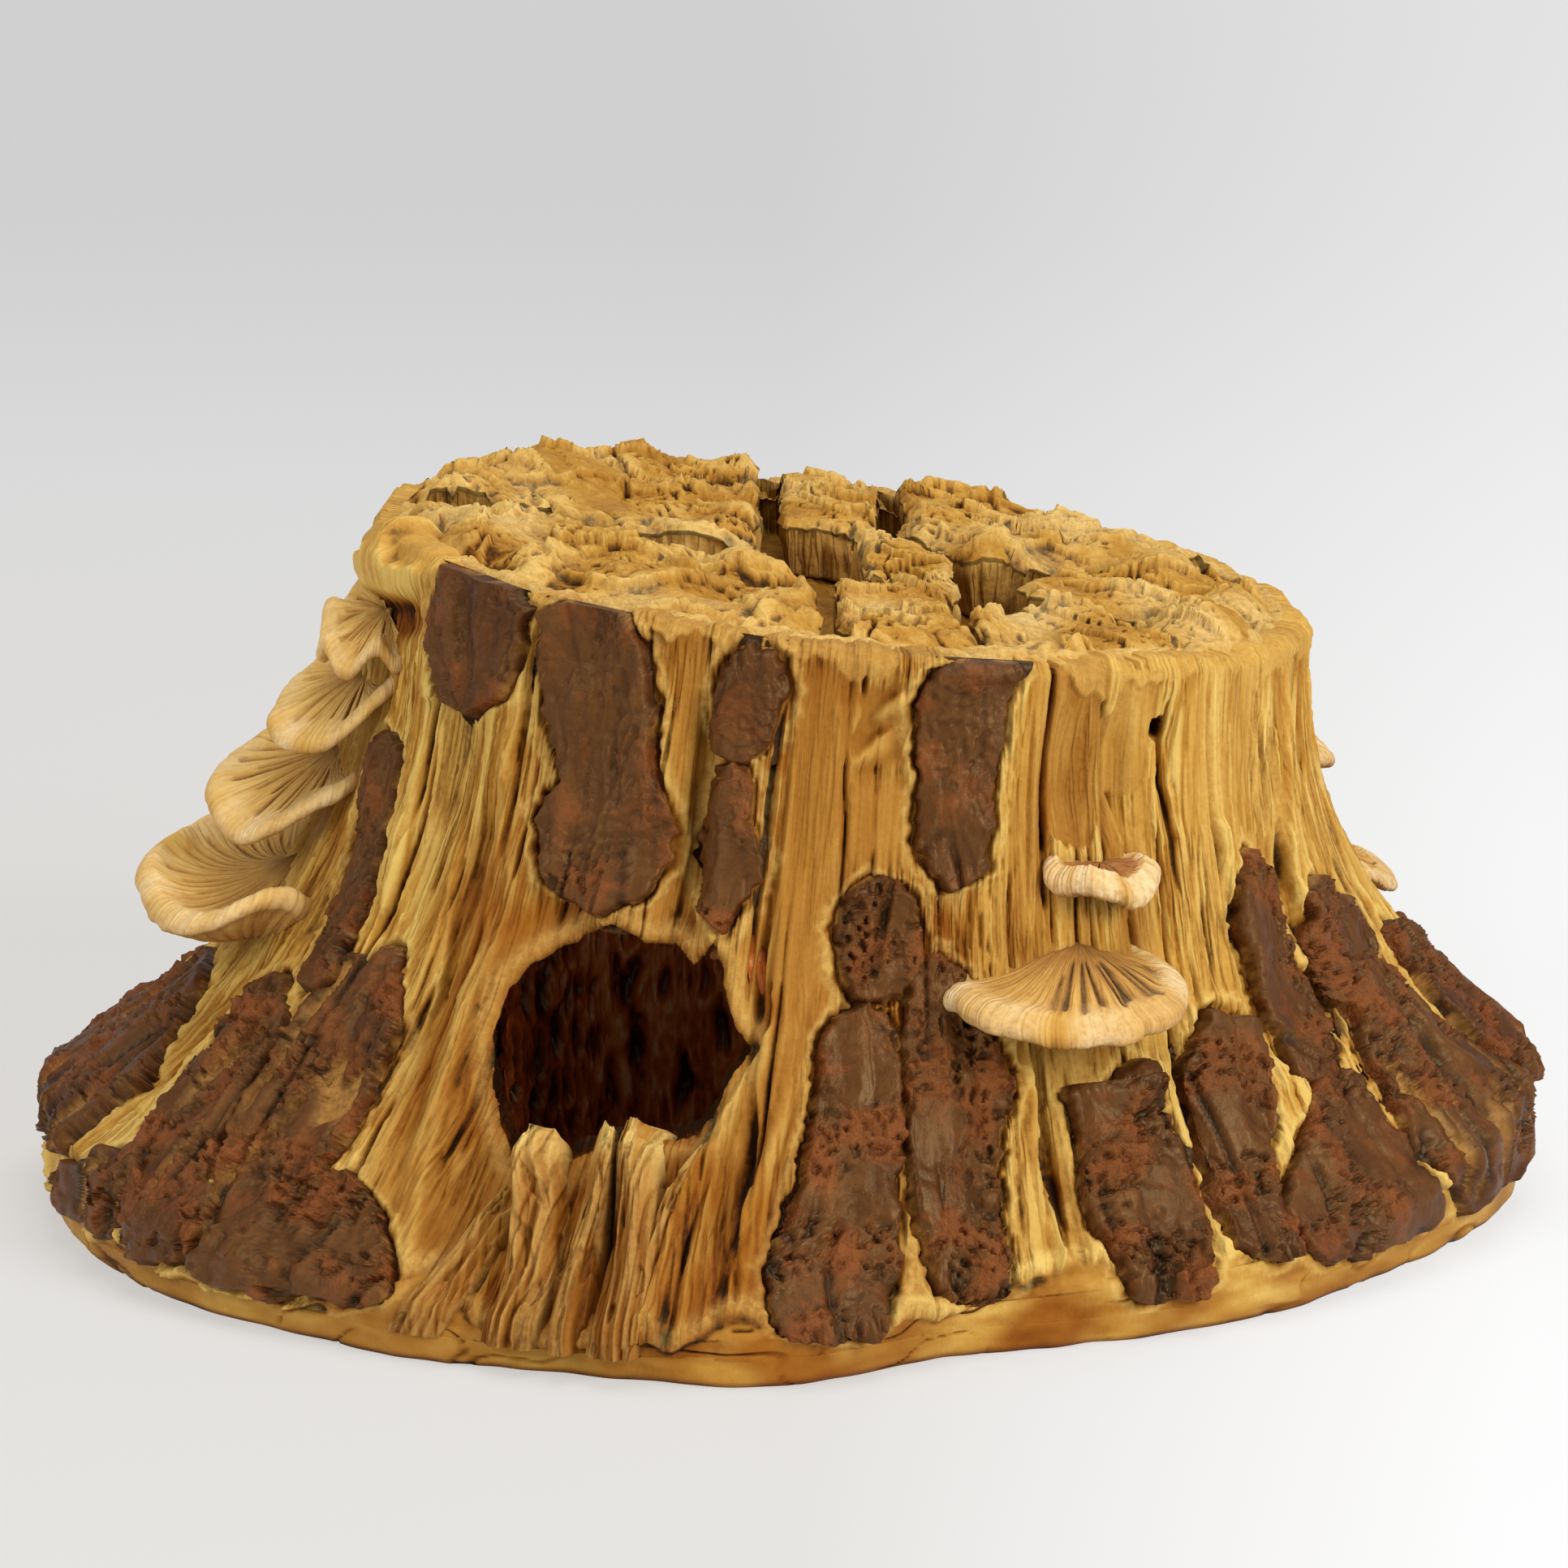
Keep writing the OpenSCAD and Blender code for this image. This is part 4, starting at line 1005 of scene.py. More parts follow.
def wallPiece(name, fromA, toA, columns, footRows, wallRows, rimRows):
    rows = [np.linspace(-1, 0, footRows, endpoint=False), np.linspace(0, 1, wallRows, endpoint=False),
            np.linspace(1, 1.12, rimRows)]
    a, v = np.meshgrid(np.linspace(fromA, toA, columns), np.concatenate(rows))
    inset = np.maximum(v - 1, 0) / 0.12 * 8.5 + 1.3 * smooth((v - 0.965) / 0.035) ** 2
    place = wallPlace(a, v, inset)
    z = place[..., 2]
    place[..., 2] -= 0.5 * smooth((v - 0.98) / 0.02)
    place[..., 2] += softNoise(a / 4.5, 2.5, 0.5, 66) * smooth((v - 0.93) / 0.06) * smooth((1.08 - v) / 0.04)
    overRim = smooth((v - 0.985) / 0.03)[..., None]
    normal = unit(wallNormal(a, v) * (1 - overRim) + np.array([0, 0, 1.0]) * overRim)
    noise = ringNoise(a)
    lift, plank, crumb, s = woodLift(a, place)
    lift, glazeAndShade, combed = spotFeatures(a, z, lift)
    lift, band = rimBand(a, z, lift)
    # bark bed: the wood is pressed flat under a slab and frayed beside it
    cover = slabCover(a, z) + raggedEdge(noise, s)
    under = smooth((cover + 0.9) / 0.8)
    beside = peak(cover + 2.2, 0.9)
    crease = peak(cover + 0.5, 0.5)
    lift = lift * (1 - under) - 0.9 * under + 0.45 * beside * (0.7 + 0.8 * crumb) - 0.5 * crease
    pale = 0.3 * beside
    combed = combed * (1 - 0.6 * beside) * (0.35 + 0.65 * smooth(0.6 + 1.4 * noise(13, s / 36, 77)))
    combed = combed * (1 - 0.45 * band)
    # smooth band round the foot under a torn lip
    calm, smears, dents, swollen, stain = footBand(a, z)
    lip = roundTable(lipHeights, a) + 8 * swollen + 3.4 * noise(10, 0.7, 72) + 1.7 * noise(3.4, 0.7, 73)
    onBand = smooth((lip - z) / 1.1)
    tornLip = peak(z - lip - 1.6, 1.7)
    bare = 1 - under
    lift = lift * (1 - 0.92 * onBand * bare) + (calm * onBand + tornLip * (1.0 + 1.1 * crumb)) * bare
    # painted shade just under the torn lip
    shadeUnderLip = peak(z - lip + 0.7, 0.6) * smooth(0.4 + 2 * noise(7, 0.3, 343))
    combed = combed * (1 - 0.9 * onBand)
    pale = np.maximum(pale, 0.5 * tornLip)
    if name == mouthWall:
        x = place[..., 0]
        jag = 0.9 * softNoise(x / 3.2, 3.3, z / 3.2, 81) + 0.5 * softNoise(x / 1.3, 5.3, z / 1.6, 82)
        gap = np.where(place[..., 1] < 0, mouthGap(x, z), 99) + jag * 0.4
        swell = peak(gap - 2.2, 1.6)
        lift = lift * (1 - 0.5 * swell) - 0.6 * peak(np.maximum(gap, 0), 0.7) + 0.25 * swell
        pale = np.maximum(pale, 0.25 * swell)
        combed = combed * (1 - 0.4 * swell)
    # paint: dark grooves, brown glaze where the wood lies low, which is partly the real glaze and partly
    # painted shade in the hollows, and pale patches where it stands out
    perMm = columns / (math.radians(toA - fromA) * 100)
    rowsPerMm = wallRows / 135
    relief = reliefOf(lift, 4 * rowsPerMm, 1.9 * perMm, 1.0)
    wide = softBlur(lift, 9 * rowsPerMm, 7 * perMm)
    narrow = softBlur(lift, 3 * rowsPerMm, 2.5 * perMm)
    zone = noise(30, s / 45, 75)
    low = smooth((wide - narrow) / 1.6 + 0.18 + 0.6 * zone)
    glazeAndShade = np.maximum(glazeAndShade, low * (1 - 0.75 * onBand) * (1 - 0.8 * band))
    stained = smooth(1.4 - np.hypot(turnBetween(a, 252) / 22, (z - 16) / 32) * 1.2)
    glazeAndShade = np.maximum(glazeAndShade, stained * (0.7 + 0.5 * zone) * (1 - 0.8 * onBand))  # brown glaze under the mouth
    # painted shade: more glaze over the middle of the front, and less towards the right as painted light
    middle = smooth((a - 222) / 10) * smooth((296 - a) / 14)
    glazeAndShade = clamp(glazeAndShade + (0.62 * middle - 0.2 * smooth((a - 300) / 20)) * (1 - 0.7 * onBand))
    khaki = 0.2 * smooth(0.15 + 1.8 * noise(9, s / 50, 78)) * clamp(1 - 1.5 * glazeAndShade) * (1 - onBand)
    pale = np.maximum(pale * (1 - 0.6 * stained), np.maximum(0.18 * band, khaki))
    relief = relief * (1 - 0.3 * band) + 0.17 * band + 0.09 * plank * (1 - band) * (1 - onBand)
    # painted shadow line along the slab borders, over the crease's real groove
    relief = clamp(relief - 0.3 * crease * (0.4 + crumb))
    # painted shade in the dents and under the torn lip; the smears are the band's own tone
    relief = clamp(relief + (0.2 * smears - 0.35 * dents) * onBand - 0.45 * shadeUnderLip)
    glazeAndShade = clamp(glazeAndShade + stain * onBand)
    place = place + normal * lift[..., None]
    place[..., 2] -= 3.0 * smooth((v - 1.07) / 0.05)
    piece = gridPiece(name, "wood", place, relief, ringGrain(a, s / 14), glazeAndShade, combed, pale)
    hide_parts("stump_shell", "stump_front")
    if name == mouthWall:
        cutMouth(piece, place, gap)


for spec in wallSpecs:
    wallPiece(*spec)
print("stump wall torn and combed")


# the round cave behind the mouth

caveRidges = {"pitch": 3.3, "length": 10.0, "depth": 2.6, "columns": 400, "rows": 90}


def caveWall():
    a, t = np.meshgrid(np.linspace(cave["openTo"], cave["openFrom"] + 360, caveRidges["columns"]),
                       np.linspace(0, 1.35, caveRidges["rows"]))
    # t runs up the upright wall to 1 and then over the dome
    dome = (t - 1) / 0.35
    radius = cave["radius"] * np.where(t > 1, np.cos(np.minimum(dome, 1) * math.pi / 2 * 0.97), 1)
    z = np.where(t > 1, cave["spring"] + (cave["top"] - cave["spring"]) * np.sin(dome * math.pi / 2),
                 5 + (cave["spring"] - 5) * t)
    arc = np.radians(a) * cave["radius"]
    drift = 1.2 * softNoise(arc / 14, z / 20, 0.5, 101)
    ridge = softNoise((arc + drift) / caveRidges["pitch"], 2.5, z / caveRidges["length"], 102)
    ridge = 1 - np.abs(ridge) * 2.2
    ridge = ridge + 0.5 * (1 - 2 * np.abs(softNoise((arc + drift) / 1.3, 7.5, z / 4, 103)))
    ridge = ridge + 0.35 * softNoise(arc / 6, 1.5, z / 9, 104)
    lift = caveRidges["depth"] * 0.5 * ridge
    inward = radius - lift
    r = np.radians(a)
    place = np.stack([cave["x"] + inward * np.cos(r), cave["y"] + inward * np.sin(r), z], -1)
    # painted shade over the left of the cave
    relief = clamp(reliefOf(lift, 6, 9, 0.8) - 0.3 * smooth((-38 - place[..., 0]) / 10))
    grain = np.stack([arc, 0 * arc, z / 5], -1)
    # painted highlights on the tips of the cave ridges
    pale = smooth((relief - 0.7) / 0.12) * smooth((softNoise(arc / 2, 3.1, z / 3, 105) - 0.1) / 0.3)
    piece = gridPiece("cave_ridged_wall", "cave", place, relief, grain, 0.3, 0.6, pale, None, "columns")
    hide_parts("cave_liner")


caveWall()
print("cave lined")


# the sunken crown inside the rim

crownFloor = {"depth": 11, "wall": 9, "band": 0.3, "floor": 0.5, "columns": 480, "rows": 64}


def crownBed():
    a, t = np.meshgrid(np.linspace(0, 360, crownFloor["columns"]), np.linspace(0, 1, crownFloor["rows"]))
    # t runs from the rim inwards: over the band, down the drop, then over the floor to the middle
    band, floorFrom, wall, depth = (crownFloor[k] for k in ("band", "floor", "wall", "depth"))
    inset = np.where(t < band, 3.5 + t / band * (wall - 3.5),
                     np.where(t < floorFrom, wall + (t - band) * 6, wall + 1.2 + (t - floorFrom) * 2 * 60))
    drop = np.where(t < band, 0.4, np.where(t < floorFrom, 0.4 + (t - band) / 0.2 * (depth - 0.4), depth))
    r = np.radians(a)
    radius = rimRadius(a)
    ring = radius - np.minimum(inset, radius * 0.985)
    shrink = np.where(t > floorFrom, 1 - (t - floorFrom) * 2, 1)
    first = len(t) // 2  # the floor's outermost row, which the others follow
    x, y = stump["leanX"] + ring * np.cos(r), stump["leanY"] + ring * np.sin(r)
    x = np.where(t > floorFrom, stump["leanX"] + (x[first] - stump["leanX"]) * shrink, x)
    y = np.where(t > floorFrom, stump["leanY"] + (y[first] - stump["leanY"]) * shrink, y)
    flat = np.stack([x, y, crownZ(x, y)], -1)
    rough = roughNoise(flat, 7, 4, 121)
    torn = roughNoise(flat, 3, 2, 127)
    onBand = smooth((0.34 - t) / 0.06)
    pits = smooth((roughNoise(flat, 1.8, 2, 131) - 0.55) / 0.15)
    lift = rough * (1.2 * onBand + 0.8 * (1 - onBand)) + 0.35 * torn - 0.7 * pits * onBand
    z = flat[..., 2] - drop + lift + 0.6 * onBand - 3.4 * (1 - smooth(t / 0.16))
    side = smooth((t - 0.28) / 0.03) * smooth((0.52 - t) / 0.03)
    shift = side * (1.4 * softNoise(a / 1.7, z / 14, 0.4, 135) + 0.8 * rough)
    place = np.stack([x + shift * np.cos(r), y + shift * np.sin(r), z], -1)
    place[:, -1] = place[:, 0]
    # painted shade down the drop and on the sunken floor, where the brown glaze is partly painted shade too
    relief = clamp(reliefOf(lift, 3, 6, 0.8) - 0.15 * side - 0.1 * (t > floorFrom))
    piece = gridPiece("crown_bed", "crown", place, relief, ringGrain(a, z / 10), 0.45 * (1 - onBand),
                      0.2 + 0.6 * side, 0.35 * onBand, None, "columns")
    faceOut(piece, merge=True)
    mesh = piece.data
    facing = np.empty(len(mesh.polygons) * 3, np.float32)
    mesh.polygons.foreach_get("normal", facing)
    if facing[2::3].sum() < 0:
        mesh.flip_normals()
    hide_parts("stump_shell")


crownBed()


# broken plates on the crown

plates = {  # height over the rim, then corners as shares of the sunken crown's half sizes
    "crown_plate_back_left": (4, [(-0.72, 0.02), (-0.42, -0.05), (-0.21, -0.1), (-0.19, 0.45), (-0.2, 0.97),
                                  (-0.46, 0.88), (-0.74, 0.66), (-0.92, 0.37), (-0.99, 0.02)]),
    "crown_plate_back_centre": (3, [(-0.14, 0.38), (0.09, 0.36), (0.1, 0.98), (-0.13, 0.98)]),
    "crown_plate_back_right": (3, [(0.15, 0.32), (0.31, 0.04), (0.52, 0.13), (0.82, 0.38), (0.82, 0.55),
                                   (0.6, 0.79), (0.36, 0.92), (0.15, 0.97)]),
    "crown_plate_right": (2, [(0.42, -0.3), (0.62, -0.34), (0.96, -0.22), (0.97, 0.16), (0.88, 0.34),
                              (0.55, 0.06), (0.4, -0.1)]),
    "crown_plate_front_right": (1.5, [(0.28, -0.7), (0.36, -0.92), (0.63, -0.76), (0.84, -0.52), (0.92, -0.3),
                                      (0.6, -0.42), (0.34, -0.42)]),
    "crown_plate_front_centre": (1.5, [(-0.02, -0.7), (0.02, -0.98), (0.3, -0.94), (0.23, -0.66),
                                       (0.28, -0.32), (0.12, -0.22), (-0.02, -0.36)]),
    "crown_plate_front_left": (3, [(-0.86, -0.47), (-0.62, -0.77), (-0.36, -0.92), (-0.05, -0.98),
                                   (-0.07, -0.72), (-0.12, -0.42), (-0.42, -0.14), (-0.72, -0.06),
                                   (-0.97, -0.05)]),
    "crown_plate_curl": (0.5, [(0.06, -0.12), (0.26, -0.14), (0.26, 0), (0.16, 0.22), (0.02, 0.2)]),
}
plateDetail = {
    "round": 246, "top": 46, "rim": 16, "side": 14, "inset": 9, "grow": 0.085, "roughness": 2.4,
    "sheets": [(13, 160, 1.8), (8.5, 163, 1.2), (5.5, 166, 0.5), (3.4, 169, 0.16)],  # size, seed, height
    "peak": ("crown_plate_back_left", (-48, 42), (20, 18), 3.0),  # the part that stands highest
}


def crownSwell(x, y):
    # swells and hollows of the broken crown, which all the plates share
    wave = np.sin(np.radians(13 * x + 50 * np.sin(np.radians(5 * y)))) * np.cos(np.radians(9 * y + 20))
    return stump["crownSwell"] * (wave + 0.4 * np.cos(np.radians(21 * x - 8 * y)))


def plateEdge(name, number):
    # the torn outline of a plate, its middle and the way out
    half = np.array([stump[k] / 2 - plateDetail["inset"] for k in ("rimWidth", "rimDepth")])
    centre = np.array([stump["leanX"], stump["leanY"]])
    loop = centre + np.array(plates[name][1]) * half
    bearing = np.degrees(np.arctan2(loop[:, 1] - centre[1], loop[:, 0] - centre[0]))
    share = np.hypot(loop[:, 0] - centre[0], loop[:, 1] - centre[1]) / rimRadius(bearing)
    grow = 1 + plateDetail["grow"] * smooth((share - 0.7) / 0.12)  # the outer edges lie on the rim
    loop = (loop - centre) * grow[:, None] + centre
    closed = np.vstack([loop, loop[:1]])
    stops = np.concatenate([[0], np.cumsum(np.hypot(*np.diff(closed, axis=0).T))])
    s = np.linspace(0, stops[-1], plateDetail["round"] + 1)
    soft = np.stack([np.interp(s, stops, closed[:, k]) for k in (0, 1)], -1)[:-1]
    for k in range(3):  # corners rounded a little
        soft = (np.roll(soft, 2, 0) + soft + np.roll(soft, -2, 0)) / 3
    edge = np.vstack([soft, soft[:1]])
    outward = unit(np.stack([np.gradient(edge[:, 1]), -np.gradient(edge[:, 0])], -1))
    outward[-1] = outward[0]
    noise = noiseOver(edge[:, 0], edge[:, 1])
    sway = 1.5 * noise(8, number * 3.3, 141) + 0.7 * noise(2.6, number * 3.3, 142)
    return edge + outward * sway[:, None], soft.mean(0), outward


def crownPlate(name, number):
    rise = plates[name][0]
    edge, middle, outward = plateEdge(name, number)
    q = np.concatenate([np.linspace(0.02, 0.8, plateDetail["top"], endpoint=False) ** 0.9,
                        np.linspace(0.82, 1, plateDetail["rim"])])
    topXY = middle + (edge - middle)[None] * q[:, None, None]
    x, y = topXY[..., 0], topXY[..., 1]
    flat = np.concatenate([topXY, crownZ(x, y)[..., None]], -1)
    noise = noiseOver(x, y)
    inside = (1 - q[:, None]) * np.linalg.norm(edge - middle, axis=1)[None]
    # torn sheets over each other, each with a lifted edge
    frayed = 0.06 * roughNoise(flat, 2.4, 2, 153)
    sheet = np.zeros(flat.shape[:2])
    for size, seed, amount in plateDetail["sheets"]:
        turnX = x * math.cos(seed) + y * math.sin(seed)
        turnY = y * math.cos(seed) - x * math.sin(seed)
        wave = softNoise(turnX / (size * 2.4), turnY / size, 0.3, seed + number) + frayed
        sheet += amount * (smooth((wave - 0.08) / 0.04) + 0.3 * peak(wave - 0.14, 0.04) + 0.5 * wave)
    lift = crownSwell(x, y) + 0.25 * noise(4, 0.5, 156) + sheet - 1.35
    highName, (highX, highY), (wideX, wideY), high = plateDetail["peak"]
    if name == highName:
        lift = lift + high * np.exp(-((x - highX) / wideX) ** 2 - ((y - highY) / wideY) ** 2)
    # lumps, pits and cracks
    lumps = roughNoise(flat, 5.2, 3, 160 + number)
    pitted = smooth(0.3 + 1.6 * noise(16, 0.9, 171))
    pits = smooth((roughNoise(flat, 1.7, 2, 170 + number) - 0.3) / 0.12) * pitted
    crack = peak(roughNoise(flat, 17, 2, 180 + number), 0.03) * smooth(0.5 + 2 * noise(9, 0.5, 150 + number))
    lift = lift + plateDetail["roughness"] * 0.1 * lumps - 1.0 * pits - 2.2 * crack
    # the edge is rounded down, frilled, or dives over the rim
    outX, outY = edge[:, 0] - stump["leanX"], edge[:, 1] - stump["leanY"]
    reachOut = np.hypot(outX, outY) / rimRadius(np.degrees(np.arctan2(outY, outX)))
    onRim = smooth((reachOut - 0.86) / 0.06)[None]
    shoulder = 1.5 * peak(inside, 1.1) + 0.5 * peak(inside, 3)
    frill = peak(inside - 1.8, 1.3) * 0.6 * clamp(0.3 + noise(4, 0.2, 190))
    dive = onRim * peak(inside, 5.5)
    z = flat[..., 2] + rise + lift * (1 - 0.9 * dive) - shoulder * (1 - onRim) + frill * (1 - onRim)
    z = z - (rise + 1.9) * dive
    top = np.concatenate([topXY, z[..., None]], -1)
    # straight sides with an upright grain, down onto the sunken floor
    down = np.linspace(0, 1, plateDetail["side"] + 1)[1:, None]
    arc = np.concatenate([[0], np.cumsum(np.hypot(*np.diff(edge, axis=0).T))])
    arc = arc / arc[-1] * round(arc[-1])
    loopAngle = arc / arc[-1] * 2 * math.pi
    reach = arc[-1] / (2 * math.pi)
    gx, gy = reach * np.cos(loopAngle)[None], reach * np.sin(loopAngle)[None]
    sideNoise = noiseOver(gx, gy)
    zz = -down * (rise + crownFloor["depth"] - 1.5 + 0.8)
    groove = sideNoise(1.5, zz / 13, 195 + number) + 0.6 * sideNoise(4.5, zz / 16, 197 + number)
    bulge = 0.8 * groove * smooth(down * 5) - 0.5 + 1.2 * sideNoise(10, zz / 8, 199) - 1.2 * down
    sideXY = edge[None] + outward[None] * bulge[..., None]
    bottom = crownZ(edge[:, 0], edge[:, 1])[None] - crownFloor["depth"] + 0.6
    sideZ = top[-1, :, 2][None] + (bottom - top[-1, :, 2][None]) * down
    place = np.concatenate([top, np.concatenate([sideXY, sideZ[..., None]], -1)], 0)
    place[:, -1] = place[:, 0]
    # paint: top first, then the sides; painted shade along the rounded-down edge, in pits and cracks, and
    # towards the bottom of the sides with more glaze there, and a little painted light where the edge dives
    # over the rim
    reliefTop = reliefOf(lift - 0.6 * shoulder * (1 - onRim), 2, 5, 0.8) - 0.75 * pits
    reliefTop = reliefTop - 0.5 * crack + 0.1 * dive
    relief = clamp(np.concatenate([reliefTop, 0.6 + 0.26 * groove - 0.1 * down], 0))
    overSide = lambda k: np.broadcast_to(k, groove.shape)
    grain = np.concatenate([flat, np.stack([overSide(k) for k in (gx, gy, zz / 10)], -1)], 0)
    zone = noise(18, 0.7, 201)
    glazeAndShade = np.concatenate([smooth(0.3 - 0.8 * zone + 0.7 * pits) * 0.5, overSide(0.2 + 0.35 * down)], 0)
    combed = np.concatenate([np.full(zone.shape, 0.25), overSide(0.95)], 0)
    pale = np.concatenate([clamp(0.05 + 1.1 * zone + 0.4 * frill) * 0.6, overSide(0.12)], 0)
    piece = gridPiece(name + "_torn", "crown", place, relief, grain, glazeAndShade, combed, pale, "round", "columns")
    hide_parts(name)


for number, name in enumerate(plates):
    crownPlate(name, number)
print("crown broken up")


# bark slabs

barkDetail = {
    "thick": 2.5, "edge": 1.3, "lump": 0.6, "pit": 1.2, "flake": 0.4, "ridge": 1.0, "bed": 1.5,
    "frontGrid": (126, 62), "backGrid": (84, 36), "rooty": 1.6,
    "roots": ("bark_left_strip", "bark_left_wide", "bark_left_heel", "bark_far_left", "bark_right_root"),
    "rolledHeads": ("bark_hooked", "bark_front_upper"), "knot": (226.5, 19),
}


def slabGrid(name):
    # angles and heights of a slab's places, closer together at its edges, and its long edges
    rows, columns = barkDetail["frontGrid" if name in barkOutlines else "backGrid"]
    base = slabRows(name, 200)
    foot, head = slabFoot(name, base[0]), base[0][-1]
    t = np.linspace(0, 1, rows)
    heights = foot + (head - foot) * (0.35 * (0.5 - 0.5 * np.cos(t * math.pi)) + 0.65 * t)
    left, right = (np.interp(heights, base[0], base[k])[:, None] for k in (1, 2))
    u = np.linspace(0, 1, columns)[None]
    u = 0.6 * u + 0.4 * (0.5 - 0.5 * np.cos(u * math.pi))
    over = barkReach.get(name, plainReach)
    pad = np.degrees((2.6 + over) / 105)
    a = (left - pad) + ((right - left) + 2 * pad) * u
    grow = 2.2 + over
    z = np.repeat(heights[:, None], columns, 1)
    z = z + np.where(t < 0.5, -grow, grow)[:, None] * np.abs(2 * t - 1)[:, None] ** 8
    return a, np.maximum(z, 5.2), heights, np.minimum(a - left, right - a), a - left, over


def barkForms(name, a, z, heights, fromSide, fromLeft, profile):
    # what only one slab or another has: a curled head, a knot, a rolled ridge or head
    extra = 0
    if name == "bark_curled":
        extra = 2.6 * (peak(z - heights[-1] + 3, 2.6) * smooth(fromLeft / 6))
    if name == "bark_knotted":
        angle, height = barkDetail["knot"]
        ring = np.hypot(np.radians(turnBetween(a, angle)) * 120, z - height)
        extra = (1.5 * peak(ring - 3.6, 1.3) - 1.2 * peak(ring, 2)) * profile
    if name == "bark_right_root":
        extra = 1.6 * peak(fromSide - 3.2, 1.6) * profile
    if name in barkDetail["rolledHeads"]:
        extra = 1.6 * peak(heights[-1] - z - 4, 3) * profile
    return extra


def barkSlab(name, number):
    a, z, heights, fromSide, fromLeft, over = slabGrid(name)
    s = downSlope(a, z)
    noise = ringNoise(a)
    side = np.radians(fromSide) * wallRadius(a, z) + over
    depth = roundedDepth(side, np.minimum(z - heights[0], heights[-1] - z) + over) + raggedEdge(noise, s)
    profile = 1 - (1 - clamp(depth / barkDetail["edge"])) ** 2.5
    rooty = barkDetail["rooty"] if name in barkDetail["roots"] else 1.0
    # lumps, pits, flakes, long ridges and the splits between them
    lumps = noise(5.5, s / 10, 220 + number) + 0.55 * noise(2.4, s / 4, 221 + number)
    fine = noise(1.1, s / 1.6, 222)
    zone = smooth(0.6 + 1.4 * noise(12, s / 15, 223 + number))
    zone = zone * (0.35 + 0.65 * smooth((88 - z) / 14))  # the upper slabs are smoother
    pitField = noise(1.7, s / 2.4, 224) + 0.45 * fine
    pits = smooth((pitField - 0.18) / 0.17) * zone
    bits = peak(pitField - 0.06, 0.09) * 0.8 * zone
    step = noise(7, s / 14, 226 + number)
    flake = smooth((step - 0.1) / 0.06) - smooth((-step - 0.25) / 0.06)
    split = peak(noise(8, s / 55, 227 + number), 0.075 * rooty)
    split *= smooth(0.4 + 1.5 * noise(20, s / 20, 228)) * (0.3 + 0.7 * smooth((90 - z) / 12))
    long = noise(6.5, s / (46 * rooty), 230 + number) + 0.3 * noise(2.6, s / 22, 231 + number)
    gaps = np.zeros(z.shape)  # where the wood shows between the roots
    if rooty > 1:
        gaps = smooth((0.11 - np.abs(noise(7, s / 80, 240 + number))) / 0.05)
        gaps = gaps * smooth(0.65 + 1.8 * noise(14, s / 26, 241 + number)) * smooth((depth - 1.5) / 2)
    lift = barkDetail["ridge"] * rooty * long + barkDetail["lump"] * lumps * (0.45 + 0.8 * zone) / rooty
    lift = lift - barkDetail["pit"] * pits + 0.55 * bits + barkDetail["flake"] * flake
    lift = lift + 0.16 * fine * (0.3 + zone) - 1.4 * rooty * split
    total = (barkDetail["thick"] + barkDetail["bed"] + lift - 2.3 * gaps) * profile - barkDetail["bed"]
    total = np.where(profile > 0.7, np.maximum(total, -0.2), total)  # never down to the bed under it
    total = total + barkForms(name, a, z, heights, fromSide, fromLeft, profile)
    v = wallShare(a, z)
    place = wallPlace(a, v) + wallNormal(a, v) * total[..., None]
    place[..., 2] = np.maximum(place[..., 2], 0.4)
    # painted shade along the slab's sloping edge, in its splits and in its pits
    relief = reliefOf(lift, 3, 4, 1.2) - 0.34 * (1 - profile) + 0.02 - 0.08 * pits - 0.28 * split * profile
    torn = peak(depth - 0.1, 0.35) * smooth(noise(5, s / 5, 233) * 3)
    rust = smooth(0.35 + 1.2 * noise(7, s / 11, 232 + number) + 0.8 * bits) * (0.3 + 0.7 * zone)
    glazeAndShade = smooth(0.2 + noise(16, s / 20, 229)) * 0.6
    slab = gridPiece(name + "_slab", "bark", place, clamp(relief), ringGrain(a, s / 5), glazeAndShade, 0.5,
                     clamp(torn * 0.8 + 0.9 * gaps), "sides", None, rust)
    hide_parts(name)


for number, name in enumerate(slabEdges):
    barkSlab(name, number)
print("bark laid on")


# bracket fungi

fungi = {  # angle and height of the root, width, reach, droop, fall to one side, wave, grooves, dish
    "fungus_left_top": (197, 121, 20, 12, 5, 4.5, 0.8, 9, 0.02),
    "fungus_left_upper": (194, 108, 26, 16.5, 7, 5, 1, 11, 0.02),
    "fungus_left_lower": (189, 92, 34, 23, 7, 7.5, 1.2, 16, 0.04),
    "fungus_left_large": (189, 71, 42, 29.5, 3, 7, 1.6, 22, 0.15),
    "fungus_front_small": (305.2, 82.5, 20.5, 9, 2, 0.5, 0.8, 8, 0.02),
    "fungus_front_large": (299.2, 68, 45, 20, 10, 0.5, 1, 12, 0.02),
    "fungus_right_upper": (19, 84.5, 18, 13, 3, -1, 0.8, 8, 0.06),
    "fungus_right_lower": (16, 62, 24, 10, 4, -1, 1, 10, 0.06),
}
fungusDetail = {
    "lip": 1.9, "columns": 170, "top": 44, "roll": 12, "under": 16, "crease": 0.8, "halfTurn": 97,
    "lipShare": {"fungus_front_large": 0.9, "fungus_front_small": 1.35},
}
frontLarge, frontSmall = "fungus_front_large", "fungus_front_small"


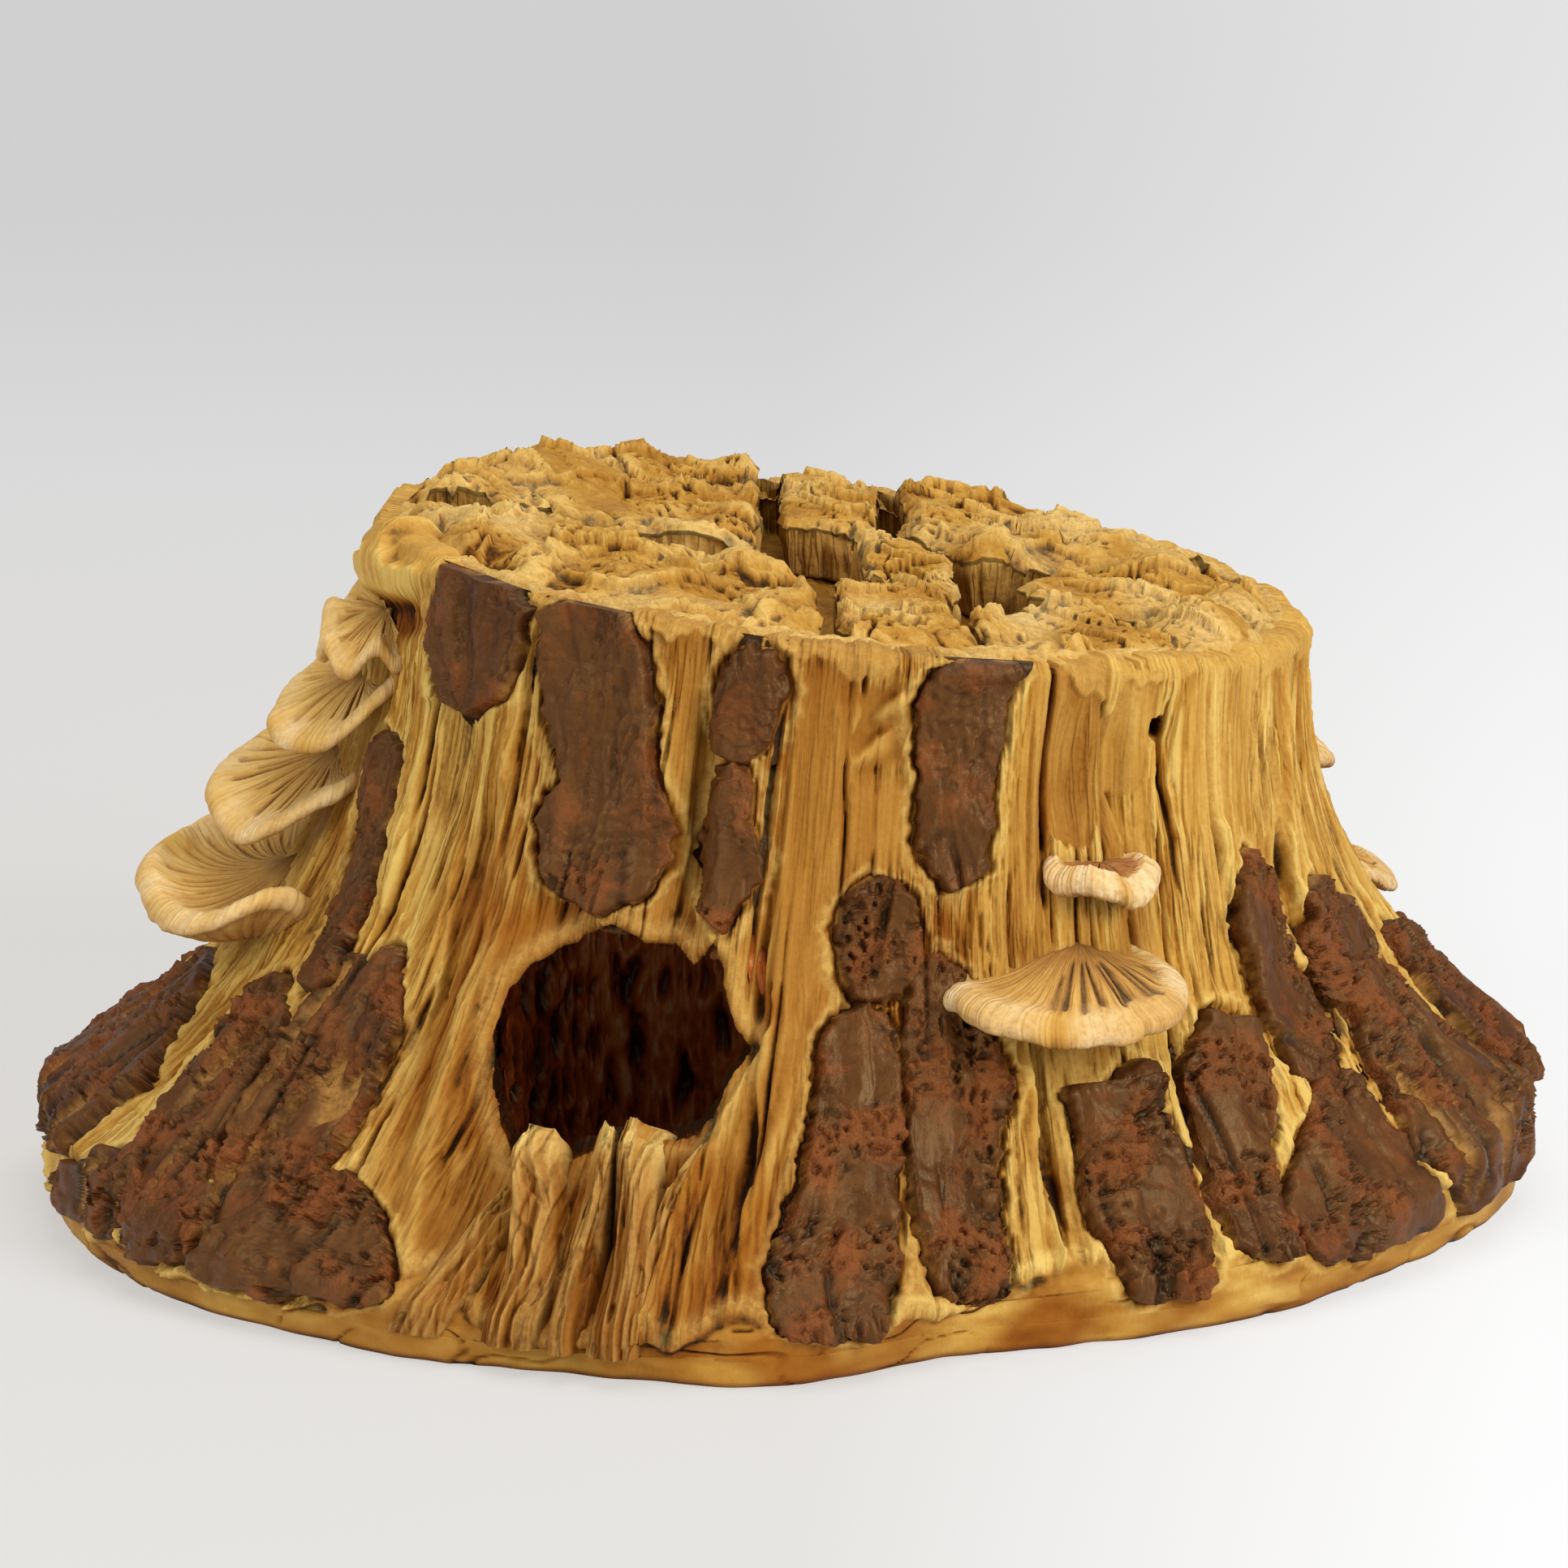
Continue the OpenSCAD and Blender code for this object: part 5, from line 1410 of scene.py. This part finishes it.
def fungusGrooves(name, number, phi, q):
    # dark grooves fanned over the top, each with its own place, length, width and bend
    width, count = fungi[name][2], fungi[name][7]
    own = np.random.default_rng(300 + number)
    grooves = np.zeros((len(q), phi.shape[1]))
    for k in range(count):
        at = -80 + 160 * (k + own.uniform(0.1, 0.9)) / count
        start, stop = own.uniform(0.12, 0.35), own.uniform(0.68, 0.97)
        wide = own.uniform(1.0, 2.6) * 22 / width
        bend = own.uniform(-7, 7)
        if name == frontLarge:
            bend = bend - at / 8
            at = -34 + 112 * (k + own.uniform(0.3, 0.7)) / count
            wide = wide * 2.6
            start, stop = own.uniform(0.22, 0.46), own.uniform(0.84, 0.96)
        off = phi - at - bend * (q - 0.5)
        groove = own.uniform(0.6, 1.4) * peak(off, wide * (0.6 + 0.6 * q))
        grooves = grooves + groove * smooth((q - start) / 0.08) * smooth((stop - q) / 0.08)
    return grooves


def fungusTop(name, number, phi, q):
    # height of the top, with what only one fungus or another has
    rootZ, _, reach, droop, fall, wave, _, dish = fungi[name][1:]
    turn = np.radians(phi)
    z = rootZ - droop * q ** 1.5 * np.cos(turn) - fall * q * np.sin(turn) * 1.1
    z = z + 0.6 * wave * np.sin(4 * turn + number) * q ** 2
    z = z + 1.3 * wave * softNoise(phi / 30, number * 1.7, 0.5, 312) * q ** 2
    z = z - dish * reach * 4 * q * (1 - q)
    if name == frontLarge:  # both ends lie lower than the middle
        z = z - 3 * np.abs(np.sin(turn)) ** 3 * q - 3 * smooth((-phi - 66) / 24) * q
    if name == "fungus_left_large":  # the near edge curls up at its tip
        z = z + 5.5 * peak(phi - 74, 18) * q ** 2
    if name in ("fungus_left_lower", "fungus_left_upper"):  # the near end climbs the wall
        z = z + 6 * smooth((phi - 50) / 40) * q ** 2 - 1.5 * peak(phi - 30, 18) * q ** 2
    if name == "fungus_left_top":  # crumpled
        z = z + 2.2 * np.sin(7 * turn) * q ** 2
    return z


def bracketFungus(name, number):
    rootA, rootZ, width, reach = fungi[name][:4]
    onLeft = name.startswith("fungus_left")
    halfTurn = fungusDetail["halfTurn"]
    phi = np.linspace(-halfTurn, halfTurn, fungusDetail["columns"])[None]
    turn = np.radians(phi)
    lip = fungusDetail["lip"] * (0.7 + width / 100) * fungusDetail["lipShare"].get(name, 1)
    # one profile: out along the top, round the lip, back underneath
    qTop = np.linspace(-0.12, 1, fungusDetail["top"])
    tRoll = np.linspace(0, math.pi, fungusDetail["roll"] + 2)[1:-1]
    qUnder = np.linspace(1, -0.05, fungusDetail["under"])
    q = np.concatenate([qTop, np.ones(len(tRoll)), qUnder])[:, None]
    ball = np.concatenate([np.zeros(len(qTop)), np.sin(tRoll), np.zeros(len(qUnder))])[:, None]
    under = np.concatenate([np.zeros(len(qTop)), (1 - np.cos(tRoll)) / 2, np.ones(len(qUnder))])[:, None]
    edgeWave = 0.94 + 0.03 * np.sin(4 * turn + number)
    for size, share, seed in ((26, 0.06, 310), (8, 0.02, 311)):
        edgeWave = edgeWave + share * softNoise(phi / size, number * 2.7, 0.5, seed)
    if name == frontLarge:  # a torn notch, and the right side shorter
        edgeWave = edgeWave - 0.08 * peak(phi - 16, 4) + 0.04 * peak(phi - 9, 4)
    across = width / 2 * np.sin(turn) * q * edgeWave * (1 - 0.14 * smooth((np.abs(phi) - 82) / 15))
    out = reach * np.maximum(np.cos(turn), -0.12) * q * edgeWave + lip * ball * np.cos(turn)
    qq = clamp(q)
    if name == frontLarge:
        across = across + 5 * (1 - qq)
    across = across + lip * ball * np.sin(turn)
    # the top's rolled edge, grooves and ribs, and gills underneath
    topZ = fungusTop(name, number, phi, qq)
    grooves = fungusGrooves(name, number, phi, qq)
    ribs = softNoise(phi / 2.2, qq * 1.5, number * 1.3, 313)
    striae = softNoise(phi / 0.9, qq * 1.2, number * 1.7, 317)
    roll = peak(qq - 0.96, 0.09) * (1 - under)
    if onLeft:
        roll = roll * 0.35
    topLift = 0.8 * roll - fungusDetail["crease"] * np.minimum(grooves, 1.6)
    topLift = topLift + (0.22 * ribs + 0.1 * striae) * qq
    depth = lip * 2 + (reach * 0.5 - lip * 2) * (1 - qq) ** 2
    gills = np.abs((phi * width / 60) % 1 - 0.5) * 2
    underLift = 0.5 * gills * smooth(qq * 3) * smooth((1 - qq) * 8)
    z = topZ + topLift * (1 - under) - under * (depth + underLift)
    roundLip = lip * (np.cos(np.arccos(np.clip(1 - 2 * under, -1, 1))) - 1)
    z = np.where(ball > 0, topZ + roundLip + 0.5 * topLift * (1 - under), z)
    z = z + 0.35 * softNoise(phi / 7, qq * 3, number * 1.9, 314) * smooth((qq - 0.7) / 0.2)
    a = rootA + np.degrees(across / wallRadius(rootA, rootZ))
    radius = wallRadius(rootA, np.full_like(a, rootZ)) * 0.25 + wallRadius(a, z) * 0.75 - 0.4 + out
    place = np.stack([*leanedPlace(a, radius, z), z], -1)
    # paint: dark grooves, brown towards the wall, pale towards the lip, and painted shade underneath on top
    # of its browner glaze
    relief = (0.82 if onLeft else 0.6) - 0.75 * np.minimum(grooves, 1.2) * (1 - under) + 0.16 * ribs
    relief = clamp(relief + 0.12 * striae + 0.15 * roll - 0.25 * under + 0.2 * (gills - 0.5) * under)
    glazeAndShade = (0.4 if onLeft else 0.75) * (1 - qq * 1.5) + 0.3 * under
    glazeAndShade = clamp(glazeAndShade + 0.3 * smooth(softNoise(phi / 25, qq * 2, number * 1.1, 315)))
    patchy = (0.3 if onLeft else 0.48) + 0.7 * softNoise(phi / 16, qq * 2, number * 2.3, 316)
    pale = clamp(patchy * smooth((qq - 0.74) / 0.26) * (1 - 0.75 * smooth((under - 0.75) / 0.2)) + 0.08)
    if name == frontSmall:
        pale = clamp(pale * 1.5)
        glazeAndShade = clamp(glazeAndShade + 0.9 * smooth((0.9 - qq) / 0.15) * (1 - under))
    grain = np.stack([phi * width / 90 + 0 * qq, qq * 4 + 0 * turn, 0 * z], -1)
    piece = gridPiece(name + "_bracket", "fungus", place, relief, grain, glazeAndShade, 0.7, pale, "ends", "rows")
    faceOut(piece)
    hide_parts(name)


for number, name in enumerate(fungi):
    bracketFungus(name, number)
print("fungi grown")


# splinters on the sill

splinters = {  # a line up each splinter: angle, height, half width and lift in mm
    "sill_splinter_1": [(237.5, 5, 6, 1.0), (239.4, 13, 6, 2.4), (241, 20, 5, 3.4), (242.6, 26, 3.0, 4.2)],
    "sill_splinter_2": [(246.0, 4, 5.5, 2.0), (247.4, 15, 5.2, 4.0), (246.6, 25, 5, 5.6), (245, 32, 4.8, 6.4),
                        (244.2, 37, 4, 6.4)],
    "sill_splinter_3": [(252.0, 3, 3.4, 2.5), (251.4, 16, 3.4, 4.6), (250.6, 27, 3.2, 6.4),
                        (249.8, 34, 2.8, 7.2), (249.6, 38.5, 2.4, 7.0)],
    "sill_splinter_4": [(255.2, 3, 4.4, 2.5), (255.3, 16, 5, 4.6), (254.6, 27, 5.2, 6.0), (253.8, 34, 5, 6.8),
                        (253.4, 39.5, 4.4, 7.0)],
    "sill_splinter_5": [(257.0, 8, 3.0, 2.0), (257.8, 20, 2.8, 3.6), (258.8, 30, 2.2, 4.4),
                        (260.2, 38.5, 1.2, 4.4)],
}
splinterDetail = {"rows": 150, "columns": 60, "blunt": ("sill_splinter_2", "sill_splinter_4")}


def sillSplinter(name, number):
    angles, levels, halves, lifts = np.array(splinters[name], float).T
    line = np.linspace(levels[0], levels[-1], splinterDetail["rows"])[:, None]
    angle, half, rise = (np.interp(line, levels, k) for k in (angles, halves, lifts))
    fromTip = levels[-1] - line
    tip = clamp(fromTip / 4)
    half = half * (0.8 + 0.2 * np.sqrt(tip))
    u = np.linspace(-1, 1, splinterDetail["columns"])[None]
    jag = softNoise(u * 1.7, number * 2.1, 0.4, 330) + 0.5 * softNoise(u * 5, number * 2.1, 0.4, 336)
    z = line + (1.1 if name in splinterDetail["blunt"] else 2.4) * jag * smooth(1 - fromTip / 9)
    offset = u * half
    a = angle + np.degrees(offset / 108)
    crest = (1 - np.abs(u - 0.35 * np.sin(z / 9 + 2 * number)) ** 2.6) * rise
    wavy = offset / 2.6 + 0.3 * np.sin(z / 8)
    ridges = 1.3 * (1 - 2.2 * np.abs(softNoise(wavy, z / 34, number * 1.7, 331)))
    thin = 0.4 * (1 - 2 * np.abs(softNoise(offset / 0.9, z / 14, number * 2.3, 332)))
    chip = smooth((softNoise(offset / 2.2, z / 5, number * 3.1, 333) - 0.2) / 0.2)
    lift = crest + (ridges + thin) * smooth((1 - np.abs(u)) * 4) - 0.8 * chip
    lift = lift * (0.75 + 0.25 * tip) - 2.2 * smooth((np.abs(u) - 0.86) / 0.14)
    v = wallShare(a, z)
    place = wallPlace(a, v) + wallNormal(a, v) * lift[..., None]
    relief = clamp(reliefOf(lift, 5, 3, 0.8) + 0.06)
    glazeAndShade = clamp(0.85 - 0.7 * smooth((z - 22) / 16) + 0.35 * ringNoise(a)(6, z / 12, 334))
    tips = smooth((z - 31) / 6) * (0.4 + 0.9 * softNoise(offset / 2.4, z / 7, number * 1.9, 335))
    pale = clamp(tips + 0.16 * smooth((ridges - 0.7) / 0.3))
    grain = ringGrain(a, z / 14)
    piece = gridPiece(name + "_blade", "splinter", place, relief, grain, glazeAndShade, 1.0, pale, "sides")
    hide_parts(name)


for number, name in enumerate(splinters):
    sillSplinter(name, number)
print("sill splintered")


# base plate

plateBand = {"height": 5.3, "columns": 900, "rows": 14}


def basePlate():
    a, t = np.meshgrid(np.linspace(0, 360, plateBand["columns"]), np.linspace(0, 1, plateBand["rows"]))
    z = plateBand["height"] * t
    lift, smears, dents, _, stain = footBand(a, z)
    lift = lift - 1.2 * (1 - smooth(t / 0.35)) ** 2
    r = np.radians(a)
    outward = np.stack([np.cos(r), np.sin(r), 0 * a], -1)
    place = wallPlace(a, np.full_like(a, -1.0)) + outward * lift[..., None]
    place[..., 2] = z
    place[:, -1] = place[:, 0]
    # painted shade along the bottom next to the floor and in the dents
    relief = clamp(0.58 + 0.2 * smears - 0.35 * dents - 0.3 * (1 - smooth(t / 0.3)))
    piece = gridPiece("base_plate_band", "base", place, relief, ringGrain(a, z / 6), stain, 0.2, 0.0, "round")
    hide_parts("base_plate")


basePlate()
print("base plate made")


# floor, light and camera

studio = {
    "floorSize": (8, 14), "floorMiddle": 4, "air": 0.38,
    "camera": (-0.00114, -0.980, 0.300), "pitch": 12.55, "lens": 116.8,
    # the paper's painted light: its tones from near to far, and the painted brighter colour towards the right
    "paper": [(0.0, "d8d5d1"), (0.22, "e0e0e0"), (0.46, "dddddd"), (1.0, "e1e1e1")], "paintedLitPaper": "f8f8f8",
    "lamps": {  # place, height that it is aimed at, size and power
        "top_softbox": ((0.1, 0.0, 1.3), 0.05, (1.0, 0.8), 8.5),
        "left_softbox": ((-1.0, -0.8, 0.8), 0.06, (0.7, 0.7), 7.5),
        "right_softbox": ((1.0, -0.9, 0.7), 0.06, (0.6, 0.6), 16)},
}


def paperFinish():
    # matt paper that partly glows for the camera, with painted light making it a little brighter towards the
    # right and far away
    paper = bpy.data.materials.new("pale_paper")
    paper.use_nodes = True
    tree = paper.node_tree
    shader = tree.nodes["Principled BSDF"]
    place = addNode(tree, "ShaderNodeTexCoord").outputs["Object"]
    spot = addNode(tree, "ShaderNodeSeparateXYZ", {"Vector": place})
    ahead = spot.outputs["Y"]
    beside = mathNode(tree, "DIVIDE", spot.outputs["X"], plus(tree, ahead, -studio["camera"][1]))
    beside = times(tree, spread(tree, beside, 0.0, 0.15), spread(tree, ahead, -0.8, -0.4))
    ramp = addNode(tree, "ShaderNodeValToRGB", {"Fac": spread(tree, ahead, 0.2, 3.4)})
    near, *between, far = studio["paper"]
    ramp.color_ramp.elements[0].color = paintColour(near[1])
    ramp.color_ramp.elements[1].color = paintColour(far[1])
    for at, code in between:
        ramp.color_ramp.elements.new(at).color = paintColour(code)
    tone = mixColour(tree, beside, ramp.outputs["Color"], paintColour(studio["paintedLitPaper"]))
    shader.inputs["Base Color"].default_value = (0.8, 0.8, 0.8, 1)
    shader.inputs["Roughness"].default_value = 0.9
    shader.inputs["Specular IOR Level"].default_value = 0.1
    glow = addNode(tree, "ShaderNodeEmission", {"Color": tone, "Strength": 1.0})
    seen = times(tree, addNode(tree, "ShaderNodeLightPath").outputs["Is Camera Ray"], 0.72)
    blend = addNode(tree, "ShaderNodeMixShader", {0: seen, 1: shader.outputs[0], 2: glow.outputs[0]})
    tree.links.new(blend.outputs[0], tree.nodes["Material Output"].inputs["Surface"])
    return paper


def layFloor():
    deselectAll()
    bpy.ops.mesh.primitive_plane_add(size=1)
    floor = bpy.context.object
    floor.name = "studio_floor"
    bpy.ops.object.mode_set(mode="EDIT")
    bpy.ops.mesh.subdivide(number_cuts=3)
    bpy.ops.transform.resize(value=(*studio["floorSize"], 1))
    bpy.ops.transform.translate(value=(0, studio["floorMiddle"], 0))
    bpy.ops.object.mode_set(mode="OBJECT")
    floor.data.materials.append(paperFinish())


def softLamp(name, place, aimZ, size, power):
    light = bpy.data.lights.new(name, "AREA")
    light.shape = "RECTANGLE"
    light.size, light.size_y = size
    light.energy = power
    lamp = bpy.data.objects.new(name, light)
    bpy.context.scene.collection.objects.link(lamp)
    lamp.location = place
    aim = np.array((0, 0, aimZ)) - np.array(place)
    tilt = math.atan2(math.hypot(aim[0], aim[1]), -aim[2])
    lamp.rotation_euler = (tilt, 0, math.atan2(aim[1], aim[0]) - math.pi / 2)


layFloor()
for name, setting in studio["lamps"].items():
    softLamp(name, *setting)

world = bpy.data.worlds.new("studio_air")
bpy.context.scene.world = world
world.use_nodes = True
world.node_tree.nodes["Background"].inputs["Color"].default_value = (1, 1, 1, 1)
world.node_tree.nodes["Background"].inputs["Strength"].default_value = studio["air"]

camera = bpy.data.objects.new("camera", bpy.data.cameras.new("camera"))
bpy.context.scene.collection.objects.link(camera)
camera.location = studio["camera"]
camera.rotation_euler = (math.radians(90 - studio["pitch"]), 0, 0)
camera.data.lens = studio["lens"]
camera.data.sensor_width = 36
camera.data.clip_end = 50
bpy.context.scene.camera = camera
bpy.context.scene.view_settings.view_transform = "Standard"
print("studio set")
